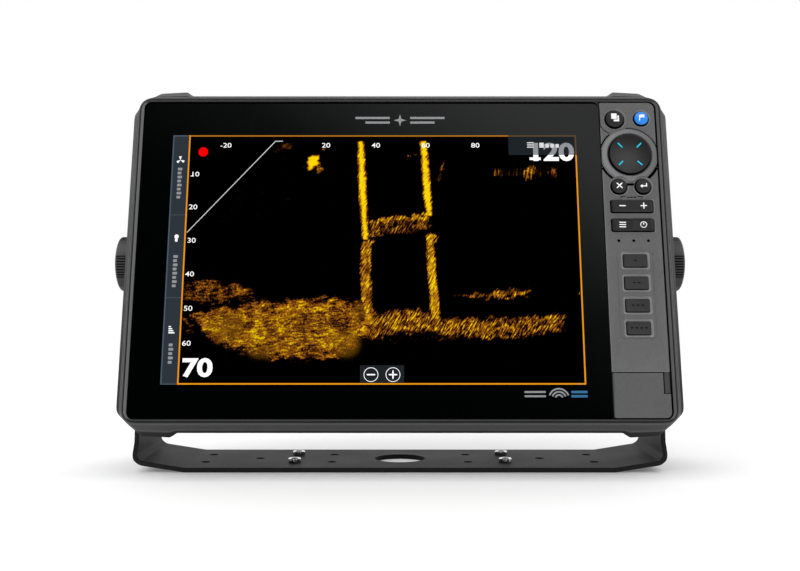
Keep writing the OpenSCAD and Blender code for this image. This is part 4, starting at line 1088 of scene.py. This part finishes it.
def pole_echo(x, y):
    """Echo strength, lean of the streaks and solidness from the poles."""
    found = (0.0, 1.0, 0.0)
    for line, power, firm in POLES:
        for (y0, x0, h0), (y1, x1, h1) in zip(line, line[1:]):
            if y1 <= y <= y0:
                k = (y0 - y) / (y0 - y1)
                d, half = abs(x - x0 - (x1 - x0) * k), h0 + (h1 - h0) * k
                e = power * (1 - smooth(half - 0.5, half + 1.2, d))
                found = max(found, (e, 1.0, firm * (1 - smooth(half - 1.3, half + 0.3, d))))
    return found


def echo_at(x, y):
    """Echo strength, lean of the streaks, solidness and glow at a place on the picture."""
    patch, pole = patch_echo(x, y), pole_echo(x, y)
    echo, lean, solid = pole if pole[0] > patch[0] else patch
    glow = max(power * (1 - smooth(0.35, 1.1, math.hypot((x - cx) / rx, (y - cy) / ry)))
               for (cx, cy), (rx, ry), power in GLOWS)
    haze = 0.10 if x < -10 and y > 20 else 0.08
    return max(echo, haze), lean, solid, glow


def picture():
    """The sonar picture as a fine grid that carries its echoes, just in front of the glass. Over the scale
    line it is black."""
    noise.seed_set(7)  # the ragged edges of the echoes come out the same on each run
    x0, y0, x1, y1 = -135.2, PICTURE[1] + 0.5, PICTURE[2] - 0.5, PICTURE[3] - 0.5
    nx, ny = 250, 163
    spots = [(x0 + (x1 - x0) * i / nx, y0 + (y1 - y0) * j / ny) for j in range(ny + 1) for i in range(nx + 1)]
    seen = []
    for x, y in spots:
        beyond = y - 76.5 > (x + 80.2) * 61.2 / 54.5 or y > 76.6
        seen.append((0.0, 0.0, 0.0, 0.0) if beyond else echo_at(x, y))
    corners = [j * (nx + 1) + i for j in range(ny) for i in range(nx)]
    mesh = bpy.data.meshes.new("sonar_picture")
    mesh.from_pydata([ON_DISPLAY @ Vector((x, y, 0.04)) for x, y in spots], [],
                     [(a, a + 1, a + nx + 2, a + nx + 1) for a in corners])
    for k, name in enumerate(("echo", "lean", "solid", "glow")):
        mesh.attributes.new(name, "FLOAT", "POINT").data.foreach_set("value", [s[k] for s in seen])
    flat = [c for x, y in spots for c in (x, y, 0.0)]
    mesh.attributes.new("spot", "FLOAT_VECTOR", "POINT").data.foreach_set("vector", flat)
    mesh.materials.append(M["screen"])
    obj = link("sonar_picture", mesh)
    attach(obj, "display")


def on_screen(name, outlines, material, z=0.08):
    """Flat shapes of the picture, lying z over the glass."""
    s = Shell()
    for outline in outlines:
        s.flat(outline, z=z)
    piece(name, s, "display", material, smooth=20)


def number(text, x, y, height, right=False, bold=0.004, wide=1.25, above=None, below=None):
    """A plain number on the screen's scale, turned into a flat mesh. x is its left end, or its right end;
    above and below keep only the part over or under that height."""
    curve = bpy.data.curves.new("n", "FONT")
    curve.body = text
    curve.size = height / 0.729
    curve.offset = bold * curve.size
    curve.align_x = "RIGHT" if right else "LEFT"
    curve.fill_mode = "FRONT"
    curve.resolution_u = 4
    obj = link("n", curve)
    bpy.context.view_layer.update()
    bm = bmesh.new()
    bm.from_mesh(obj.to_mesh())
    bpy.data.objects.remove(obj)
    z = 0.12
    for v in bm.verts:
        v.co = (v.co.x * wide + x, v.co.y + y, z)
    for level, up in ((above, 1), (below, -1)):
        if level is not None:
            bmesh.ops.bisect_plane(bm, geom=bm.verts[:] + bm.edges[:] + bm.faces[:], plane_co=(0, level, z),
                                   plane_no=(0, up, 0), clear_inner=True)
    bm.verts.index_update()
    s = Shell()
    s.put([v.co for v in bm.verts], [[v.index for v in f.verts] for f in bm.faces])
    bm.free()
    return s


def scales():
    """The white scale line and the numbers along the top and the left of the picture. The menu tab veils the
    upper part of the large number on the right."""
    line, marks = Shell(), Shell()
    line.plate(along([(-134.9, 14.7), (-80.5, 76.3)], 0.24), 0.10, 0.12)
    line.plate(along([(-80.7, 76.3), (-75.7, 76.4)], 0.25), 0.10, 0.12)
    piece("scale_line", line, "display", "line_grey")
    for text, x, y in (("10", -134.3, 52.3), ("20", -134.6, 30.2), ("30", -134.6, 8.0), ("40", -134.7, -14.0),
                       ("50", -134.7, -36.1), ("60", -134.7, -58.2), ("-20", -116.2, 72.0), ("20", -50.6, 72.0),
                       ("40", -18.4, 72.0), ("60", 13.7, 72.0), ("80", 45.8, 72.0)):
        marks.add(number(text, x, y, 3.3))
    marks.add(number("70", -134.0, -77.2, 11.3, bold=0.034, wide=1.22))
    marks.add(number("120", 112.2, 63.4, 12.0, right=True, bold=0.034, wide=1.20, below=66.9))
    marks.flat(box(83.4, 63.45, 90.6, 65.2), z=0.121)
    marks.flat(box(-134.3, 52.3, -132.2, 52.85), z=0.121)
    piece("scale_numbers", marks, "display", "white")
    dim = number("120", 112.2, 63.4, 12.0, right=True, bold=0.034, wide=1.20, above=66.9)
    piece("scale_number_veiled", dim, "display", "white_dim")


def screen_furniture():
    """The sidebar, the orange border, the menu tab, the record dot and the zoom soft keys."""
    x0, y0, x1, y1 = PICTURE
    b, thin, tab_x, tab_y = 0.9, 0.8, 70.0, 66.9
    on_screen("sidebar", [box(x0, y0, -135.9, y1)], "sidebar", 0.06)
    on_screen("sidebar_edges", [box(x0, y0, x0 + thin, y1), box(x0 + thin, y1 - thin, -136.6, y1),
                                box(x0 + thin, y0, -136.6, y0 + 0.6), box(x0 + thin, 26.2, -136.2, 26.5),
                                box(x0 + thin, -27.9, -136.2, -27.6)], "side_edge")
    on_screen("picture_border", [box(-135.9, y0, x1, y0 + b), box(-136.4, y0, -136.4 + b, y1),
                                 box(x1 - b, y0 + b, x1, tab_y)], "orange", 0.09)
    on_screen("picture_border_top", [box(-135.5, y1 - b, tab_x, y1)], "orange_dim", 0.09)
    on_screen("picture_border_veiled", [box(tab_x, y1 - b, x1, y1), box(x1 - b, tab_y, x1, y1 - b)],
              "orange_veiled", 0.10)
    on_screen("menu_box", [box(tab_x, tab_y, x1 - b, y1 - b)], "menu_box")
    menu = [box(82.1, y, 86.3, y + 0.75) for y in (71.9, 73.4, 74.9)]
    menu += [box(x, 71.9, x + w, 71.9 + h) for x, w, h in (
        (90.0, 2.9, 3.4), (94.0, 2.1, 2.5), (97.2, 2.2, 2.5), (100.5, 2.1, 2.5))]
    on_screen("menu_lines", menu, "white_soft", 0.14)
    on_screen("record_dot", [circle((-126.9, 69.0), 3.15, 40)], "red", 0.12)
    ring, minus, plus = Shell(), (-17.8, -76.3), (-4.3, -76.3)
    for at in (minus, plus):
        ring.flat(circle(at, 4.5, 48), [circle(at, 4.12, 48)], 0.12)
        ring.flat(centred(at, 2.6, 0.42, 0.3, 3), z=0.12)
    ring.flat(centred(plus, 0.42, 2.6, 0.3, 3), z=0.121)
    piece("zoom_soft_keys", ring, "display", "white")
    on_screen("zoom_box", [box(-24.5, y0 + b, 2.5, -70.5)], "menu_box")


def sidebar_signs():
    """Generic signs on the sidebar: a propeller, a drop and a level meter, each with a run of plain blocks."""
    blocks, signs, hub = Shell(), Shell(), (-141.3, 63.4)
    for low, n in ((37.4, 8), (-21.0, 8), (-69.5, 5)):
        for k in range(n):
            y = low + 2.72 * k
            blocks.plate(rounded(-142.7, y, -140.3 + 0.5 * (k % 2), y + 1.75, 0.35, 3), 0.09, 0.11)
    piece("sidebar_blocks", blocks, "display", "white_dim")
    for k in range(3):
        signs.plate(arc(hub, 2.6, 120 * k + 75, 120 * k + 115, 6) + [hub], 0.09, 0.11)
    signs.plate(rounded(-142.6, 10.6, -140.0, 13.4, 1.25), 0.09, 0.11)
    signs.plate(rounded(-142.2, 8.6, -140.5, 10.8, 0.8), 0.09, 0.112)
    for k in range(4):
        y = -50.5 + 1.3 * k
        signs.plate(box(-143.3, y, -139.5 - 0.8 * k, y + 0.75), 0.09, 0.11)
    piece("sidebar_signs", signs, "display", "white")


def face_marks():
    """Plain generic marks on the face: a star between two pairs of bars above, arcs and bars below."""
    top, low, blue = Shell(), Shell(), Shell()
    top.plate([polar((0, 90.9), 1.3 if k % 2 else 4.1, 45 * k) for k in range(8)], 0.06, 0.10)
    for y, x1 in ((92.5, 29.0), (89.3, 22.5)):
        for a, b in ((-x1, -6.6), (6.6, x1)):
            top.plate(rounded(a, y - 0.75, b, y + 0.75, 0.3, 3), 0.06, 0.10)
    piece("face_mark_top", top, "display", "mark_ink")
    for r in (2.3, 4.2, 6.1):
        low.plate(along(arc((97.0, -91.1), r, 20, 160, 16), 0.5), 0.06, 0.10)
    for y in (-87.0, -89.6):
        low.plate(rounded(76.0, y - 0.6, 89.0, y + 0.6, 0.3, 3), 0.06, 0.10)
        blue.plate(rounded(104.5, y - 0.75, 114.5, y + 0.75, 0.3, 3), 0.06, 0.10)
    piece("face_mark_low", low, "display", "mark_ink")
    piece("face_mark_bar", blue, "display", "mark_blue")


# ---------- knobs and screws ----------

def knob(side, node):
    """Rim with four groups of grip ridges and smooth spans between, and a shallow domed face."""
    place = IN_ROW @ Matrix.Translation(PIVOT / MM) @ Matrix.Rotation(side * math.pi / 2, 4, "Y")
    n, pitch, start = 720, 5.7, 7 if side > 0 else 173

    def ridged(radius, z):
        ring = []
        for i in range(n):
            t, cut = 360 * i / n, 0.0
            for k in range(4):
                off = abs((t - k * 90 - start + 180) % 360 - 180) / pitch
                if off < 4.3:
                    cut = 0.95 * (1 - smooth(0.06, 0.34, abs(off - round(off)))) * (1 - smooth(4.05, 4.3, off))
            ring.append((*polar((0, 0), radius - cut * smooth(16.6, 17.6, radius), t), z))
        return ring

    s = Shell()
    rim = [(16.9, 170.45), (17.1, 170.7), (17.5, 171.0), (17.95, 171.5), (18.0, 172.2), (18.0, 178.0),
           (18.0, 183.6), (17.9, 184.3), (17.5, 184.8), (17.0, 185.15), (16.4, 185.5), (15.6, 185.8)]
    top, face_r = 188.3, 15.6
    face = [lift(circle((0, 0), r, n), top - 2.5 * (r / face_r) ** 2) for r in (13.5, 11.0, 8.5, 6.0, 3.5, 1.5)]
    made = s.chain([ridged(r, z) for r, z in rim] + face)
    s.fan(made[-1], (0, 0, top))
    s.f.append(tuple(made[0]))
    piece(f"{node}_grip", s, node, "knob", place, [node], smooth=40)


def hex_screws():
    """Chamfered hex heads with a hollow washer face and a dark stud tip, in the four middle holes."""
    heads, tips, z0 = Shell(), Shell(), 3.0
    across_flats = 8.0
    hex_profile = ((0.0, 4.35), (0.3, 4.35), (0.31, 9.0), (2.0, 9.0), (2.45, 4.1), (2.6, 3.7), (2.3, 3.0),
                   (2.3, 2.35))
    for at in [(sx * 68.7, sy * 15.5) for sx in (-1, 1) for sy in (-1, 1)]:
        rings = []
        for z, most in hex_profile:
            ring = []
            for i in range(96):
                t = 2 * math.pi * i / 96
                turned = t + math.pi / 6 + math.copysign(0.2, at[0])
                r = min(most, across_flats / 2 / math.cos(turned % (math.pi / 3) - math.pi / 6))
                ring.append((at[0] + r * math.cos(t), at[1] + r * math.sin(t), z0 + z))
            rings.append(ring)
        heads.loft(rings)
        tip = [(0, 2.1), (2.2, 2.1), (2.2, 2.45), (1.9, 2.6), (0, 2.6)]
        tips.add(lathe(at, [(r, z0 + z) for r, z in tip], 32))
        heads.add(lathe(at, [(0, 0.2), (2.5, 0.2), (2.5, z0 + 0.1), (0, z0 + 0.1)], 32))
    piece("hex_heads", heads, "bracket", "chrome", IN_ROW, ["base_hex_screws"], smooth=25)
    piece("screw_tips", tips, "bracket", "dark_ink", IN_ROW)


# ---------- studio ----------

def room():
    """White room light: bright behind the display, dim in front of it, and a soft lamp up to the right that
    the glass mirrors. The camera sees plain white."""
    world = bpy.data.worlds.new("room")
    bpy.context.scene.world = world
    g = Graph(world, "ShaderNodeOutputWorld", "Generated")
    white, dim = (1, 1, 1, 1), (0.30, 0.30, 0.30, 1)

    def light(colour):
        return g.node("ShaderNodeBackground", Color=colour).outputs[0]

    def either(ray, no, yes):
        """One light for rays of a kind, another for the rest."""
        is_ray = g.node("ShaderNodeLightPath").outputs[f"Is {ray} Ray"]
        return g.node("ShaderNodeMixShader", i0=is_ray, i1=no, i2=yes).outputs[0]

    side, back, up = g.node("ShaderNodeSeparateXYZ", Vector=g.place).outputs
    behind = g.node("ShaderNodeMapRange", _interpolation_type="SMOOTHSTEP", Value=back, From__Min=-0.15,
                    From__Max=0.45).outputs[0]
    bright = g.math("MAXIMUM", behind, g.span(up, -0.01, 0.0, 1.0, 0.0))
    lamp = g.ramp(g.span(g.add(g.times(up, 2.0), side), 0.6, 1.6),
                  [(0.10, 0.0), (0.30, 0.008), (0.489, 0.10), (0.5875, 0.33), (0.714, 0.72)])
    mirrored = either("Glossy", light(g.blend(bright, dim, white)), light(g.blend(bright, lamp, white)))
    g.put(g.out.inputs["Surface"], either("Camera", mirrored, light(white)))


def floor_sheet():
    """The white sheet that the display stands on, slightly lit by itself."""
    s = Shell()
    s.plate(circle((0, 0), 1100), -3, -0.02)
    mesh = bpy.data.meshes.new("floor")
    mesh.from_pydata([IN_ROW @ Vector(p) for p in s.v], [], s.f)
    g = Graph("floor_paper")
    tone = g.span(g.noise(40, 4.0), 0.3, 0.7, 0.90, 0.92)
    mesh.materials.append(g.finish(g.shade((1, 1, 1, 1), tone), g.span(tone, 0.90, 0.92, 0.8, 0.9), shine=0.0,
                                   Emission__Color=(1, 1, 1, 1), Emission__Strength=0.13))
    link("floor", mesh)


def studio():
    """The room, the floor, two wide soft suns and the camera."""
    room()
    floor_sheet()
    suns = (("top_sun", 1.5, 100, (0.05, 0.25, -1)), ("left_sun", 0.75, 40, (0.9, 0.7, -0.5)))
    for name, strength, wide, aim in suns:
        light = bpy.data.lights.new(name, "SUN")
        light.energy, light.angle = strength, math.radians(wide)
        obj = link(name, light)
        obj.rotation_euler = Vector(aim).to_track_quat("-Z", "Y").to_euler()
        obj.visible_glossy = False
    cam = bpy.data.cameras.new("camera")
    cam.lens, cam.sensor_width = 50, 36
    cam.clip_start, cam.clip_end = 0.05, 50
    obj = link("camera", cam)
    obj.location = (0.0, -0.740, 0.118)
    obj.rotation_euler = (math.pi / 2, 0, 0)
    bpy.context.scene.camera = obj
    bpy.context.scene.view_settings.view_transform = "Standard"
    bpy.context.scene.view_settings.look = "None"


dress_cad_nodes()
bezel_shell()
painted_gap_shade()
key_panel()
panel_print()
keys()
key_marks()
cursor_pad()
picture()
scales()
screen_furniture()
sidebar_signs()
face_marks()
knob(-1, "left_knob")
knob(1, "right_knob")
hex_screws()
studio()
